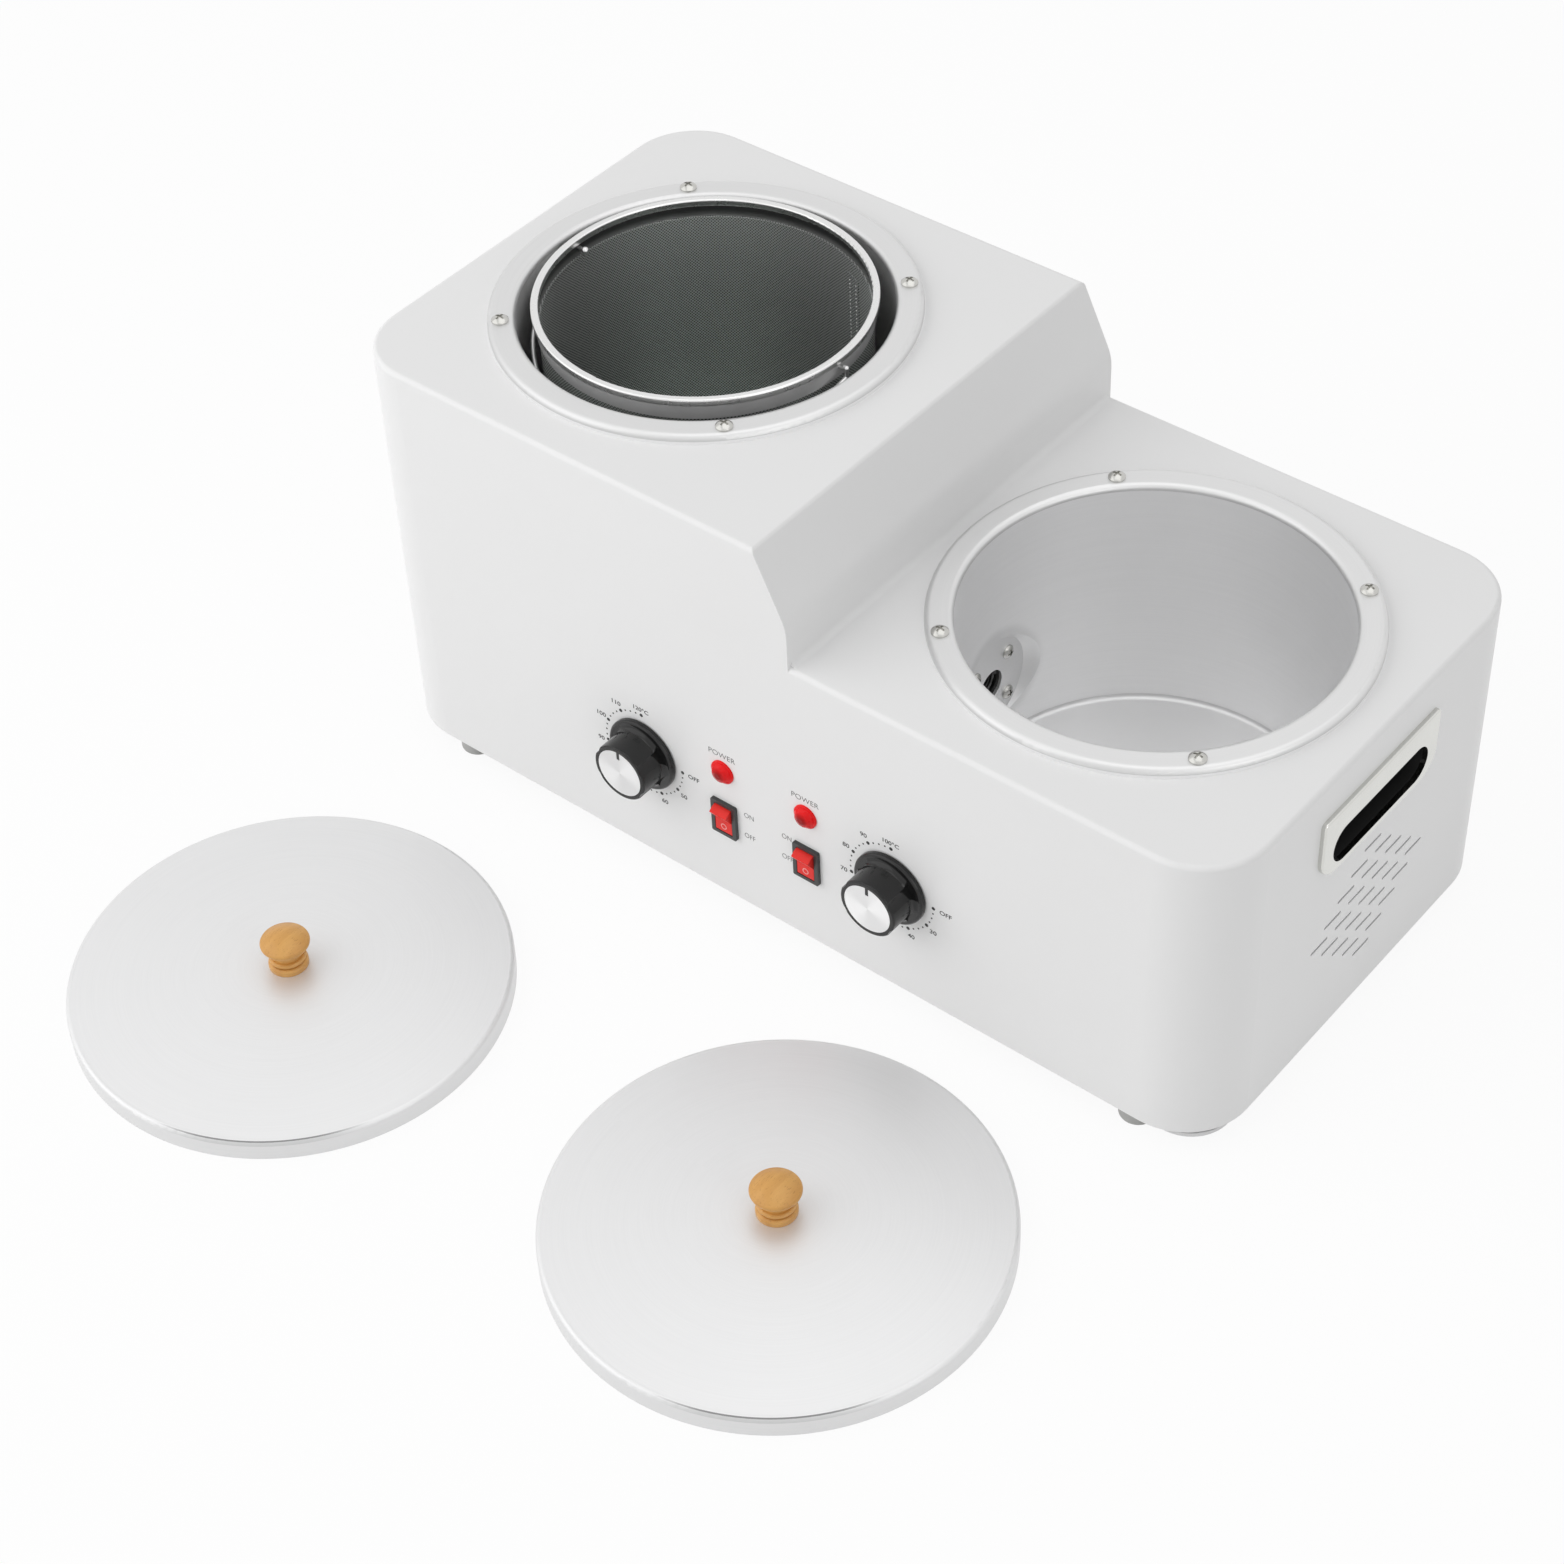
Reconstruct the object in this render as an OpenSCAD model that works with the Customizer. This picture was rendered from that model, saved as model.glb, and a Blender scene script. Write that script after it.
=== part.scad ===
// Double wax warmer: a stepped sheet casing with two heated pots, a lift-out filter basket,
// a drain between the pots, two loose lids, and a knob, a lamp and a rocker switch for each pot.
// Millimetres, +Z up. The origin lies on the table under the middle of the casing.

/* [Casing] */
// Height of the low deck above the bottom edge
lower_h = 168.5; // [160:0.5:190]
// Rise of the high deck above the low deck
upper_rise = 60; // [52:1:75]
// Radius of the upright corners
corner_r = 35; // [28:1:42]
// Radius along the edges of the decks
edge_r = 2.5; // [1.8:0.1:4]
// Thickness of the sheet
sheet = 1.2; // [0.8:0.1:1.4]
// Width of the lip turned in along the bottom edge
lip_w = 20; // [18:1:26]
// Gap between a pot rim and the casing's end
rim_end_gap = 16; // [14:0.5:20]
// Gap between a pot rim and the casing's front or back
rim_side_gap = 21; // [20:0.5:26]
// Gap between the low pot's rim and the step wall
rim_step_gap = 7.7; // [6.5:0.1:12]

/* [Step between the decks] */
// Distance of the step wall from the middle
step_x = 18.3; // [12:0.1:22]
// Height of the sloping part of the step
slope_h = 37; // [28:0.5:42]
// Run of the sloping part of the step
slope_run = 17.8; // [10:0.1:24]
// Radius of the bend under the slope
bend_r = 25; // [12:1:34]
// Radius of the hollow where the step meets the low deck
step_fillet = 3.5; // [2:0.1:6]

/* [Base and feet] */
// Height of the feet
foot_h = 8.5; // [7:0.1:14]
// Radius of a foot at its top
foot_r = 9; // [8:0.1:11]
// Distance of the feet from the casing's ends
foot_inset_x = 44; // [30:1:60]
// Distance of the feet from the casing's front and back
foot_inset_y = 13; // [11:0.5:17]
// Height of the base tray
base_h = 3.5; // [3:0.1:5]
// Thickness of the tray's sheet
base_t = 1.5; // [1:0.1:2]
// Distance of the tray's edge from the casing's outside
base_in = 4; // [3:0.1:5]
// Radius of the tray's corners
base_corner_r = 29; // [24:0.5:32]
// Distance of the outer base screws from the middle
base_screw_x = 120; // [90:1:150]

/* [Pots] */
// Inner radius of the pots
pot_r = 90.5; // [87:0.5:96]
// Thickness of the pot wall
pot_t = 1.5; // [1:0.1:1.8]
// Inner radius between wall and floor
pot_corner_r = 2.5; // [1.5:0.1:4]
// Depth of the high pot below its deck
upper_depth = 181; // [178:1:188]
// Drop of the low pot's floor below the high pot's floor
floor_drop = 8; // [4:0.5:12]
// Width of the pot rim
rim_w = 13.5; // [12.8:0.1:15]
// Height of the rim above the deck
rim_h = 5; // [4.4:0.1:6]
// Rounding of the rim
rim_edge_r = 2.8; // [2:0.1:3.5]
// Distance of the rim screws from the rim's edge
rim_screw_in = 6.4; // [6.2:0.1:7]

/* [Drain] */
// Bore radius of the drain
drain_r = 8.5; // [6:0.1:9]
// Wall of the drain tube
drain_wall = 2; // [1.5:0.1:3]
// Radius of the round flat pressed out of each pot for the drain
seat_r = 26; // [25.5:0.5:28]
// Distance of the flat outside the pot's inner wall
seat_out = 0.2; // [0.2:0.1:1]
// Height of the flat's lower edge above the high pot's floor
seat_rise = 6; // [5:0.5:9]
// Width of the square drain flange
flange_w = 36; // [34:0.5:37]
// Thickness of the drain flange
flange_t = 3; // [2.5:0.1:5]
// Thickness of the drain gasket
drain_gasket_t = 1.5; // [1:0.1:2]
// Distance of the drain screws from the flange's edges
drain_screw_in = 5; // [4.5:0.1:5.5]

/* [Heating] */
// Thickness of a heater band
heater_t = 2; // [1.5:0.1:2.5]
// Gap between the top of the heater bands and the low deck's sheet
heater_deck_gap = 16.3; // [12:0.1:24]
// Gap between the ends of a heater band
heater_gap = 6; // [4:0.5:8]
// Thickness of the insulation
insulation_t = 5.8; // [4:0.1:6.5]
// Radius of a sensor bulb
bulb_r = 3; // [2.5:0.1:3.5]
// Length of a sensor bulb
bulb_l = 34; // [28:1:36]

/* [Filter basket] */
// Gap between the mesh and the pot's wall
basket_clear = 10.5; // [10:0.05:11]
// Thickness of the mesh and its bands
mesh_t = 1; // [0.6:0.1:1.2]
// Height of the rim ring's top above the high deck
basket_rise = 9.4; // [7:0.1:12]
// Half width of the rim ring
ring_r = 1.9; // [1.6:0.1:2.2]
// Height of the plain band below the middle of the ring
band_h = 10; // [9.6:0.1:20]
// Height of the foot ring
foot_ring_h = 20; // [16:0.5:26]
// Height of the mesh floor above the foot ring's lower edge
mesh_floor_rise = 12; // [8:0.5:15]
// Radius of the bail wire
bail_wire_r = 1.25; // [1:0.05:1.4]
// Distance of the bail outside the mesh
bail_out = 5; // [4.9:0.05:5.2]
// Length of the crank between the bail's pivot and its bow
bail_crank = 5; // [3:0.5:6]
// Angle by which the bow hangs below level
bail_drop = 15; // [8:0.5:16]

/* [Lids] */
// Overhang of a lid beyond the pot rim
lid_over = 3.5; // [2.5:0.1:6]
// Height of a lid
lid_h = 10.8; // [10.4:0.1:14]
// Rise of the lid's dome over its edge
lid_dome = 6; // [4:0.5:8]
// Thickness of the lid sheet
lid_t = 1.2; // [0.8:0.1:1.5]
// Rounding of the lid's edge
lid_edge_r = 2.2; // [2:0.1:4]
// Radius of the wooden knob's cap
lid_knob_r = 12; // [11:0.1:14]
// Height of the wooden knob
lid_knob_h = 19; // [18:0.5:24]
// Distance of the left lid's middle outside the high pot's
left_lid_out = 31; // [10:1:60]
// Gap on the table between the front panel and the left lid
left_lid_gap = 59.5; // [35:0.5:100]
// Distance of the right lid's middle inside the low pot's
right_lid_in = 10; // [0:1:20]
// Gap on the table between the front panel and the right lid
right_lid_gap = 35; // [30:0.5:100]

/* [Controls] */
// Distance of the temperature knobs from the middle
dial_x = 75; // [68:1:82]
// Height of the temperature knobs above the table
dial_z = 77.5; // [70:0.5:82]
// Radius of the knob's skirt
skirt_r = 20; // [19.5:0.1:22]
// Width of the skirt round the grip
skirt_w = 4.5; // [3.8:0.1:5.5]
// Height of the knob in front of the panel
knob_h = 18.5; // [17:0.5:24]
// Width of the black rim round the knob's silver disc
disc_in = 2.3; // [1.8:0.1:3]
// Radius of the thermostat shaft
shaft_r = 3; // [2.5:0.1:3.5]
// Distance of the lamps and switches from the middle
switch_x = 25; // [20:0.5:32]
// Height of the lamps above the table
lamp_z = 93; // [88:0.5:100]
// Radius of a lamp's lens
lens_r = 6.6; // [5.5:0.1:8]
// Height of a lamp's lens in front of the panel
lens_h = 4.6; // [3:0.1:7]
// Height of the switches above the table
switch_z = 63; // [56:0.5:68]
// Width of a switch bezel
bezel_w = 15; // [14.6:0.1:18]
// Height of a switch bezel
bezel_h = 21; // [20.4:0.1:26]
// Height of a switch bezel in front of the panel
bezel_t = 2; // [1.5:0.1:3]
// Swing of a rocker between off and on
rocker_swing = 34; // [20:1:36]

/* [Handles and vents] */
// Length of the finger slot
slot_l = 78.5; // [70:0.5:84]
// Height of the finger slot
slot_h = 20; // [16:0.5:22]
// Height of the middle of the finger slots above the table
handle_z = 136.6; // [132:0.1:142]
// Width of the bezel beyond the slot's ends
bezel_side = 8.5; // [7:0.1:12]
// Width of the bezel above the slot
bezel_above = 12.4; // [8:0.1:15]
// Width of the bezel below the slot
bezel_below = 3.6; // [3.2:0.1:8]
// Height of a handle bezel above the casing side
handle_t = 2.6; // [2:0.1:4]
// Height of the middle of the vents above the table
vent_z = 75.4; // [68:0.1:78]
// Distance of the middle of the vents behind the casing's middle
vent_y = 1.8; // [-4:0.1:4]
// Length of a vent slot
vent_l = 14; // [10:0.5:16]
// Width of a vent slot
vent_w = 1.7; // [1:0.1:2.5]
// Sideways step between neighbouring vent slots
vent_step_y = 10; // [9:0.5:13]
// Downward step between neighbouring vent slots
vent_step_z = 8.5; // [5:0.1:9]

/* [Power inlet] */
// Place of the inlet from side to side
inlet_x = 0; // [-60:1:60]
// Height of the inlet above the table
inlet_z = 58; // [40:1:90]
// Width of the socket
socket_w = 24.5; // [24:0.1:26]
// Height of the socket
socket_h = 16.5; // [16:0.1:18]
// Depth of the socket
socket_d = 18; // [17:0.5:20]

/* [Hidden] */
$fn = 96;
// Running gap round a turning shaft or pin
run_gap = 0.08;
// Gap between curved faces that fit together
fit_gap = 0.1;
// Gap round a piece that passes through the sheet
pass_gap = 0.3;
deck_hole_gap = 3;
// Length added to a cut so that it runs clear of the faces
past = 1;
// Overlap of a flat face with the bend that it runs into
seam = 0.02;
sides = [-1, 1];

rim_r = pot_r + rim_w;
pot_x = step_x + rim_step_gap + rim_r;
casing_l = 2 * (pot_x + rim_r + rim_end_gap);
casing_w = 2 * (rim_r + rim_side_gap);
casing_z = foot_h + base_h;
lower_z = casing_z + lower_h;
upper_z = lower_z + upper_rise;
panel_y = -casing_w / 2;
panel_back_y = panel_y + sheet;

slope = atan2(slope_run, slope_h);
slope_n = [cos(slope), sin(slope)];
bend_top = upper_z - slope_h;
bend_c = [step_x - bend_r, bend_top - bend_r * tan(slope / 2)];
slope_d = slope_n * [step_x, bend_top];

pot_out_r = pot_r + pot_t;
upper_floor_z = upper_z - upper_depth;
lower_depth = upper_depth - upper_rise + floor_drop;
drain_z = upper_floor_z + seat_rise + seat_r;
seat_d = pot_r + seat_out;
seat_reach = 8;
seat_face_x = pot_x - seat_d;
drain_pitch = flange_w - 2 * drain_screw_in;
flange_corner_r = 4;
drain_half = seat_face_x - pot_t - drain_gasket_t;
heater_in_r = pot_out_r + fit_gap;
heater_out_r = heater_in_r + heater_t;
heater_over = 2.5;
heater_z = drain_z + seat_r + 2 * pot_t + heater_over;
heater_h = lower_z - sheet - heater_deck_gap - heater_z;
insulation_r = heater_out_r + fit_gap + insulation_t;
insulation_over = 2;
insulation_slot_w = 30;
lug_t = 2;
lug_l = 14;
lug_hole_y = heater_out_r + lug_l / 2;
clamp_r = 2;
clamp_head_r = 3.8;
clamp_head_h = 2.6;
clamp_nut_r = 4;
clamp_nut_t = 3.2;

// Length by which a screw's end stands out of its thread
screw_past = 2;
rim_screw_circle = rim_r - rim_screw_in;
rim_screw_r = 2;
rim_head_r = 4.2;
rim_head_h = 2.6;
rim_screw_l = 12;
hole_gap = 0.2;
thread_gap = 0.05;
drain_screw_r = 1.9;
drain_head_r = 3.7;
drain_head_h = 2.4;
base_screw_r = 1.9;
base_head_r = 3.8;
base_head_h = 2.4;
foot_screw_sink = 4;
foot_edge_r = 1.2;
head_gap = 0.6;
base_rim_w = lip_w + 2;

mesh_r = pot_r - basket_clear;
ring_z = upper_z + basket_rise - ring_r;
ring_edge_r = 0.9;
band_r = mesh_r + fit_gap + mesh_t;
basket_gap = 0.2;
basket_z = upper_floor_z + basket_gap;
mesh_below = 6;
pivot_gap = 1.25;
pivot_z = ring_z - ring_r - bail_wire_r - pivot_gap;
bail_r = mesh_r + bail_out;
hook_end_r = 2;
hook_gap = 0.4;
hook_in = mesh_r - mesh_t - hook_end_r - hook_gap;

lid_r = rim_r + lid_over;
left_lid_x = -pot_x - left_lid_out;
left_lid_y = panel_y - left_lid_gap - lid_r;
right_lid_x = pot_x - right_lid_in;
right_lid_y = panel_y - right_lid_gap - lid_r;
lid_screw_l = 11;
lid_screw_gap = 0.02;
lid_top = lid_h + lid_dome;
lid_dome_margin = 0.5;
lid_dome_w = lid_r - lid_edge_r - lid_dome_margin;
lid_dome_r = (lid_dome_w * lid_dome_w + lid_dome * lid_dome) / (2 * lid_dome);

grip_r = skirt_r - skirt_w;
disc_r = grip_r - disc_in;
knob_gap = 0.6;
skirt_wall = 1.8;
knob_pocket_r = skirt_r - skirt_wall;
knob_pocket_z = 2.4;
pocket_clear = 0.8;
skirt_h = 3.4;
skirt_edge_r = 1.4;
cove_r = 3;
rim_round = 0.8;
disc_t = 0.9;
disc_sink = 0.05;
disc_dish = 0.25;
disc_margin = 0.6;
pointer_w = 1.6;
pointer_l = 4.4;
pointer_sink = 0.1;
pointer_root = 0.4;
flute_r = 9;
flute_depth = 0.9;
flute_angles = [60, 120, -60, -120];
shaft_in_knob = 14;
shaft_in_body = 18;
shaft_end_gap = 0.5;
shaft_step = 1;
shaft_flat = 0.8;
thermostat_w = 44;
thermostat_h = 34;
thermostat_d = 24;
bushing_r = 5;
bushing_out = 1;
thermostat_corner_r = 3;
thermostat_blade_x = 8;
thermostat_screw_r = 1.9;
thermostat_screw_l = 8;
thermostat_head_r = 3.4;
thermostat_head_h = 1.5;
thermostat_pitch = 2 * (knob_pocket_r - thermostat_head_r - pocket_clear);
capillary_r = 0.9;
capillary_rise = 3;
capillary_in_z = dial_z + thermostat_h / 4;
capillary_behind = 5;
bulb_angle = 60;
bulb_below = 14.5;
bulb_z = heater_z - insulation_over - bulb_below - bulb_l;
bulb_axis_r = pot_out_r + fit_gap + bulb_r;

lens_flange_h = 1.2;
lens_flange_w = 0.6;
lens_flange_r = 0.5;
lens_stem_in = 2;
lens_stem_r = lens_r - lens_stem_in;
lens_stem_l = 5;
pilot_wall = 1.4;
pilot_body_r = lens_stem_r + pilot_wall;
pilot_body_l = 16;
pilot_collar_w = 2;
pilot_collar_h = 2.5;
pilot_blade_x = 2.5;
blade_w = 4.8;
blade_t = 0.8;
blade_l = 7;

switch_body_gap = 1.2;
switch_body_d = 15;
bezel_corner_r = 0.8;
switch_blade_y = 4;
well_side = 1;
well_end = 0.7;
rocker_gap = 0.3;
rocker_w = bezel_w - 2 * (switch_body_gap + well_side + rocker_gap);
rocker_r = bezel_h / 2 - switch_body_gap - well_end - rocker_gap;
rocker_pin_r = 1;
rocker_pin_l = 0.9;
rocker_sink = 0.05;
rocker_face = bezel_t - rocker_sink;
rocker_back = 3;

cup_wall = 2;
cup_back = 1.5;
cup_clear = 1.5;
cup_depth = rim_end_gap + rim_r - insulation_r - cup_clear;
handle_l = slot_l + 2 * bezel_side;
handle_h = slot_h + bezel_above + bezel_below;
handle_top_r = 2.5;
handle_low_r = 13;
handle_edge_r = 1;

inlet_t = 2.5;
inlet_wall = 3;
inlet_body_d = 24;
inlet_corner_r = 5;
inlet_screw_r = 1.7;
inlet_head_r = 3.2;
inlet_head_h = 1.9;
inlet_screw_gap = 4.75;
inlet_edge = 5;
inlet_screw_x = socket_w / 2 + inlet_wall + inlet_screw_gap;
inlet_w = 2 * (inlet_screw_x + inlet_edge);
inlet_over = 2.75;
inlet_h = socket_h + 2 * (inlet_wall + inlet_over);
socket_cut = 4;
pin_w = 4;
pin_t = 2;
pin_short = 5.5;
pin_tail = 6;
pin_places = [[-7, -2.2], [7, -2.2], [0, 2.4]];

block_l = 46;
block_w = 22;
block_h = 17;
block_y = 55;
block_ways = 3;
block_wire_r = 2.6;
block_screw_r = 2.4;

// Rectangle with rounded corners, centred
module rounded_rect(l, w, r) {
    square([l - 2 * r, w], center = true);
    square([l, w - 2 * r], center = true);
    for (sx = sides, sy = sides)
        translate([sx * (l / 2 - r), sy * (w / 2 - r)])
            circle(r);
}

// Slot with round ends, centred, lying along x
module stadium(l, w) {
    square([l - w, w], center = true);
    for (s = sides)
        translate([s * (l - w) / 2, 0])
            circle(w / 2);
}

// Rectangle standing on the x axis with its two upper corners rounded
module round_top(w, h, f) {
    translate([-w / 2, 0])
        square([w, h - f]);
    translate([f - w / 2, 0])
        square([w - 2 * f, h]);
    for (s = sides)
        translate([s * (w / 2 - f), h - f])
            circle(f);
}

// Half section of a disc with its upper edge rounded, for turning round the axis
module half_top(r, h, f) {
    square([r, h - f]);
    square([r - f, h]);
    translate([r - f, h - f])
        intersection() {
            circle(f);
            square(f);
        }
}

// Block with upright corners of radius r and a rounded top edge of radius f
module rounded_block(l, w, h, r, f) {
    rotate([90, 0, 90])
        linear_extrude(l - 2 * r, center = true)
            round_top(w, h, f);
    rotate([90, 0, 0])
        linear_extrude(w - 2 * r, center = true)
            round_top(l, h, f);
    for (sx = sides, sy = sides)
        translate([sx * (l / 2 - r), sy * (w / 2 - r), 0])
            rotate_extrude()
                half_top(r, h, f);
}

// Turns a shape that points up so that it points out of the front panel
module out_of_front() {
    rotate([90, 0, 0])
        children();
}

// Turns a shape that points up so that it points out of the right side
module out_of_right() {
    rotate([90, 0, 90])
        children();
}

// Turns a shape that points up so that it points out of the back
module out_of_back() {
    rotate([90, 0, 180])
        children();
}

// Cross-head screw: dome head on the z = 0 plane, shank below it
module pan_screw(head_r, head_h, shank_r, shank_l) {
    crown = head_h * 0.7;
    ball_r = (head_r * head_r + crown * crown) / (2 * crown);
    difference() {
        intersection() {
            cylinder(r = head_r, h = head_h);
            translate([0, 0, head_h - ball_r])
                sphere(ball_r);
        }
        for (a = [0, 90])
            rotate([0, 0, a])
                translate([-head_r * 0.55, -head_r * 0.13, head_h * 0.5])
                    cube([head_r * 1.1, head_r * 0.26, head_h]);
    }
    translate([0, 0, -shank_l])
        cylinder(r = shank_r, h = shank_l + head_h * 0.3);
}

// Places its children at the four rim screws of a pot
module at_rim_screws() {
    for (a = [45 : 90 : 315])
        rotate([0, 0, a])
            translate([rim_screw_circle, 0, 0])
                rotate([0, 0, -a])
                    children();
}

// Places its children at the base screws
module at_base_screws() {
    for (sx = sides, sy = sides)
        translate([sx * base_screw_x, sy * (casing_w / 2 - lip_w / 2), 0])
            children();
    for (sx = sides)
        translate([sx * (casing_l / 2 - lip_w / 2), 0, 0])
            children();
}

// Places its children over one foot
module at_foot(sx, sy) {
    translate([sx * (casing_l / 2 - foot_inset_x), sy * (casing_w / 2 - foot_inset_y), 0])
        children();
}

module at_feet() {
    for (sx = sides, sy = sides)
        at_foot(sx, sy)
            children();
}

// Places its children on the four screws of a drain seat
module at_drain_screws() {
    for (sy = sides, sz = sides)
        translate([sy * drain_pitch / 2, sz * drain_pitch / 2, 0])
            children();
}

// Side view of the high part of the casing, set in by t
module step_section(t) {
    top_z = upper_z - t;
    edge_c_x = (slope_d - edge_r - slope_n[1] * (upper_z - edge_r)) / slope_n[0];
    edge_c = [edge_c_x, upper_z - edge_r];
    left = -casing_l / 2 - past;
    polygon([
        [left, casing_z],
        [step_x - t, casing_z],
        [step_x - t, bend_c[1]],
        bend_c + (bend_r - seam - t) * slope_n,
        edge_c + (edge_r - t) * slope_n,
        [edge_c[0], top_z],
        [left, top_z]
    ]);
    translate(bend_c)
        circle(bend_r - t);
    translate(edge_c)
        circle(edge_r - t);
}

// Side view of the hollow where the step meets the low deck, set in by t
module step_hollow(t) {
    difference() {
        translate([step_x - t - past, lower_z - t - past])
            square(step_fillet + t + past);
        translate([step_x + step_fillet, lower_z + step_fillet])
            circle(step_fillet + t);
    }
}

// Whole outside of the casing, set in by t, from height z0 up
module casing_form(t, z0) {
    l = casing_l - 2 * t;
    w = casing_w - 2 * t;
    translate([0, 0, z0])
        rounded_block(l, w, lower_z - t - z0, corner_r - t, edge_r - t);
    intersection() {
        translate([0, 0, z0])
            rounded_block(l, w, upper_z - t - z0, corner_r - t, edge_r - t);
        rotate([90, 0, 0])
            linear_extrude(casing_w + 2 * past, center = true)
                step_section(t);
    }
    rotate([90, 0, 0])
        linear_extrude(casing_w - 2 * edge_r, center = true)
            step_hollow(t);
}

// Vent slots of one side: rows of slots set on a diamond
module vent_pattern() {
    for (i = [0 : 4], j = [0 : 4])
        translate([vent_y + (i - j) * vent_step_y, vent_z + (4 - i - j) * vent_step_z])
            stadium(vent_l, vent_w);
}

module casing() {
    color("white")
        difference() {
            casing_form(0, casing_z);
            casing_form(sheet, casing_z + sheet);
            translate([0, 0, casing_z - past])
                linear_extrude(sheet + 2 * past)
                    rounded_rect(casing_l - 2 * lip_w, casing_w - 2 * lip_w, corner_r - lip_w / 2);
            for (pot = [[-pot_x, upper_z], [pot_x, lower_z]])
                translate([pot[0], 0, pot[1] - sheet - past]) {
                    cylinder(r = pot_out_r + deck_hole_gap, h = sheet + 2 * past);
                    at_rim_screws()
                        cylinder(r = rim_screw_r + thread_gap, h = sheet + 2 * past);
                }
            translate([0, 0, casing_z - past]) {
                at_base_screws()
                    cylinder(r = base_screw_r + thread_gap, h = sheet + 2 * past);
                at_feet()
                    cylinder(r = base_screw_r + thread_gap, h = sheet + 2 * past);
            }
            for (s = sides)
                translate([0, panel_back_y + past, 0])
                    out_of_front()
                        linear_extrude(sheet + 2 * past)
                            panel_holes(s);
            translate([-casing_l / 2 - past, 0, 0])
                out_of_right()
                    linear_extrude(casing_l + 2 * past)
                        side_holes();
            translate([inlet_x, -panel_back_y - past, inlet_z])
                out_of_back()
                    linear_extrude(sheet + 2 * past)
                        inlet_holes();
        }
}

module panel_holes(s) {
    translate([s * dial_x, dial_z]) {
        circle(bushing_r + pass_gap);
        for (k = sides)
            translate([k * thermostat_pitch / 2, 0])
                circle(thermostat_screw_r + hole_gap);
    }
    translate([s * switch_x, lamp_z])
        circle(lens_stem_r + pass_gap);
    translate([s * switch_x, switch_z])
        square([bezel_w - 2 * switch_body_gap + pass_gap, bezel_h - 2 * switch_body_gap + pass_gap],
            center = true);
}

module side_holes() {
    translate([0, handle_z])
        stadium(slot_l + 2 * cup_wall + 2 * pass_gap, slot_h + 2 * cup_wall + 2 * pass_gap);
    vent_pattern();
}

module inlet_holes() {
    square([socket_w + 2 * inlet_wall + pass_gap, socket_h + 2 * inlet_wall + pass_gap], center = true);
    for (s = sides)
        translate([s * inlet_screw_x, 0])
            circle(inlet_screw_r + thread_gap);
}

module base_plate() {
    color("gainsboro")
        difference() {
            translate([0, 0, foot_h])
                linear_extrude(base_h)
                    rounded_rect(casing_l - 2 * base_in, casing_w - 2 * base_in, base_corner_r);
            translate([0, 0, foot_h + base_t])
                linear_extrude(base_h)
                    rounded_rect(casing_l - 2 * base_rim_w, casing_w - 2 * base_rim_w,
                        corner_r - lip_w / 2);
            translate([0, 0, foot_h - past]) {
                at_base_screws()
                    cylinder(r = base_screw_r + hole_gap, h = base_h + 2 * past);
                at_feet()
                    cylinder(r = base_screw_r + hole_gap, h = base_h + 2 * past);
            }
        }
}

module base_screws() {
    color("silver")
        at_base_screws()
            translate([0, 0, foot_h])
                mirror([0, 0, 1])
                    pan_screw(base_head_r, base_head_h, base_screw_r, base_h + sheet + screw_past);
}

module foot(sx, sy) {
    color("lightgray")
        at_foot(sx, sy)
            difference() {
                rotate_extrude()
                    difference() {
                        translate([0, foot_h])
                            mirror([0, 1])
                                half_top(foot_r, foot_h, foot_edge_r);
                        square([base_screw_r + hole_gap, foot_h]);
                    }
                translate([0, 0, -past])
                    cylinder(r = base_head_r + head_gap, h = foot_screw_sink + past);
            }
}

module foot_front_left() {
    foot(-1, -1);
}

module foot_front_right() {
    foot(1, -1);
}

module foot_back_left() {
    foot(-1, 1);
}

module foot_back_right() {
    foot(1, 1);
}

module foot_screws() {
    color("silver")
        at_feet()
            translate([0, 0, foot_screw_sink])
                mirror([0, 0, 1])
                    pan_screw(base_head_r, base_head_h, base_screw_r,
                        foot_h + base_h + sheet + screw_past - foot_screw_sink);
}

// Half section of a pot's outside, with the deck at height zero
module pot_outside(depth) {
    out_corner_r = pot_corner_r + pot_t;
    translate([0, -depth - pot_t]) {
        square([pot_out_r - out_corner_r, depth]);
        translate([0, out_corner_r])
            square([pot_out_r, depth + pot_t + rim_h - rim_edge_r - out_corner_r]);
        translate([pot_out_r - out_corner_r, out_corner_r])
            circle(out_corner_r);
    }
    difference() {
        half_top(rim_r, rim_h, rim_edge_r);
        translate([pot_out_r, -past])
            square([rim_r - pot_t - pot_out_r, rim_h - pot_t + past]);
    }
}

// Half section of the room in a pot, with the deck at height zero
module pot_inside(depth) {
    translate([0, -depth]) {
        square([pot_r - pot_corner_r, depth + rim_h + past]);
        translate([0, pot_corner_r])
            square([pot_r, depth + rim_h + past - pot_corner_r]);
        translate([pot_r - pot_corner_r, pot_corner_r])
            circle(pot_corner_r);
    }
    translate([pot_r, rim_h - rim_edge_r])
        difference() {
            translate([-past, 0])
                square([rim_edge_r + past, rim_edge_r + past]);
            translate([rim_edge_r, 0])
                circle(rim_edge_r);
        }
}

// Cone with a draft of 45 degrees that ends in the drain's flat, made larger by t all round
module seat_cone(t) {
    translate([0, 0, seat_d - seat_reach])
        cylinder(r1 = seat_r + seat_reach + t * sqrt(2), r2 = seat_r + t * (sqrt(2) - 1),
            h = seat_reach + t);
}

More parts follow.
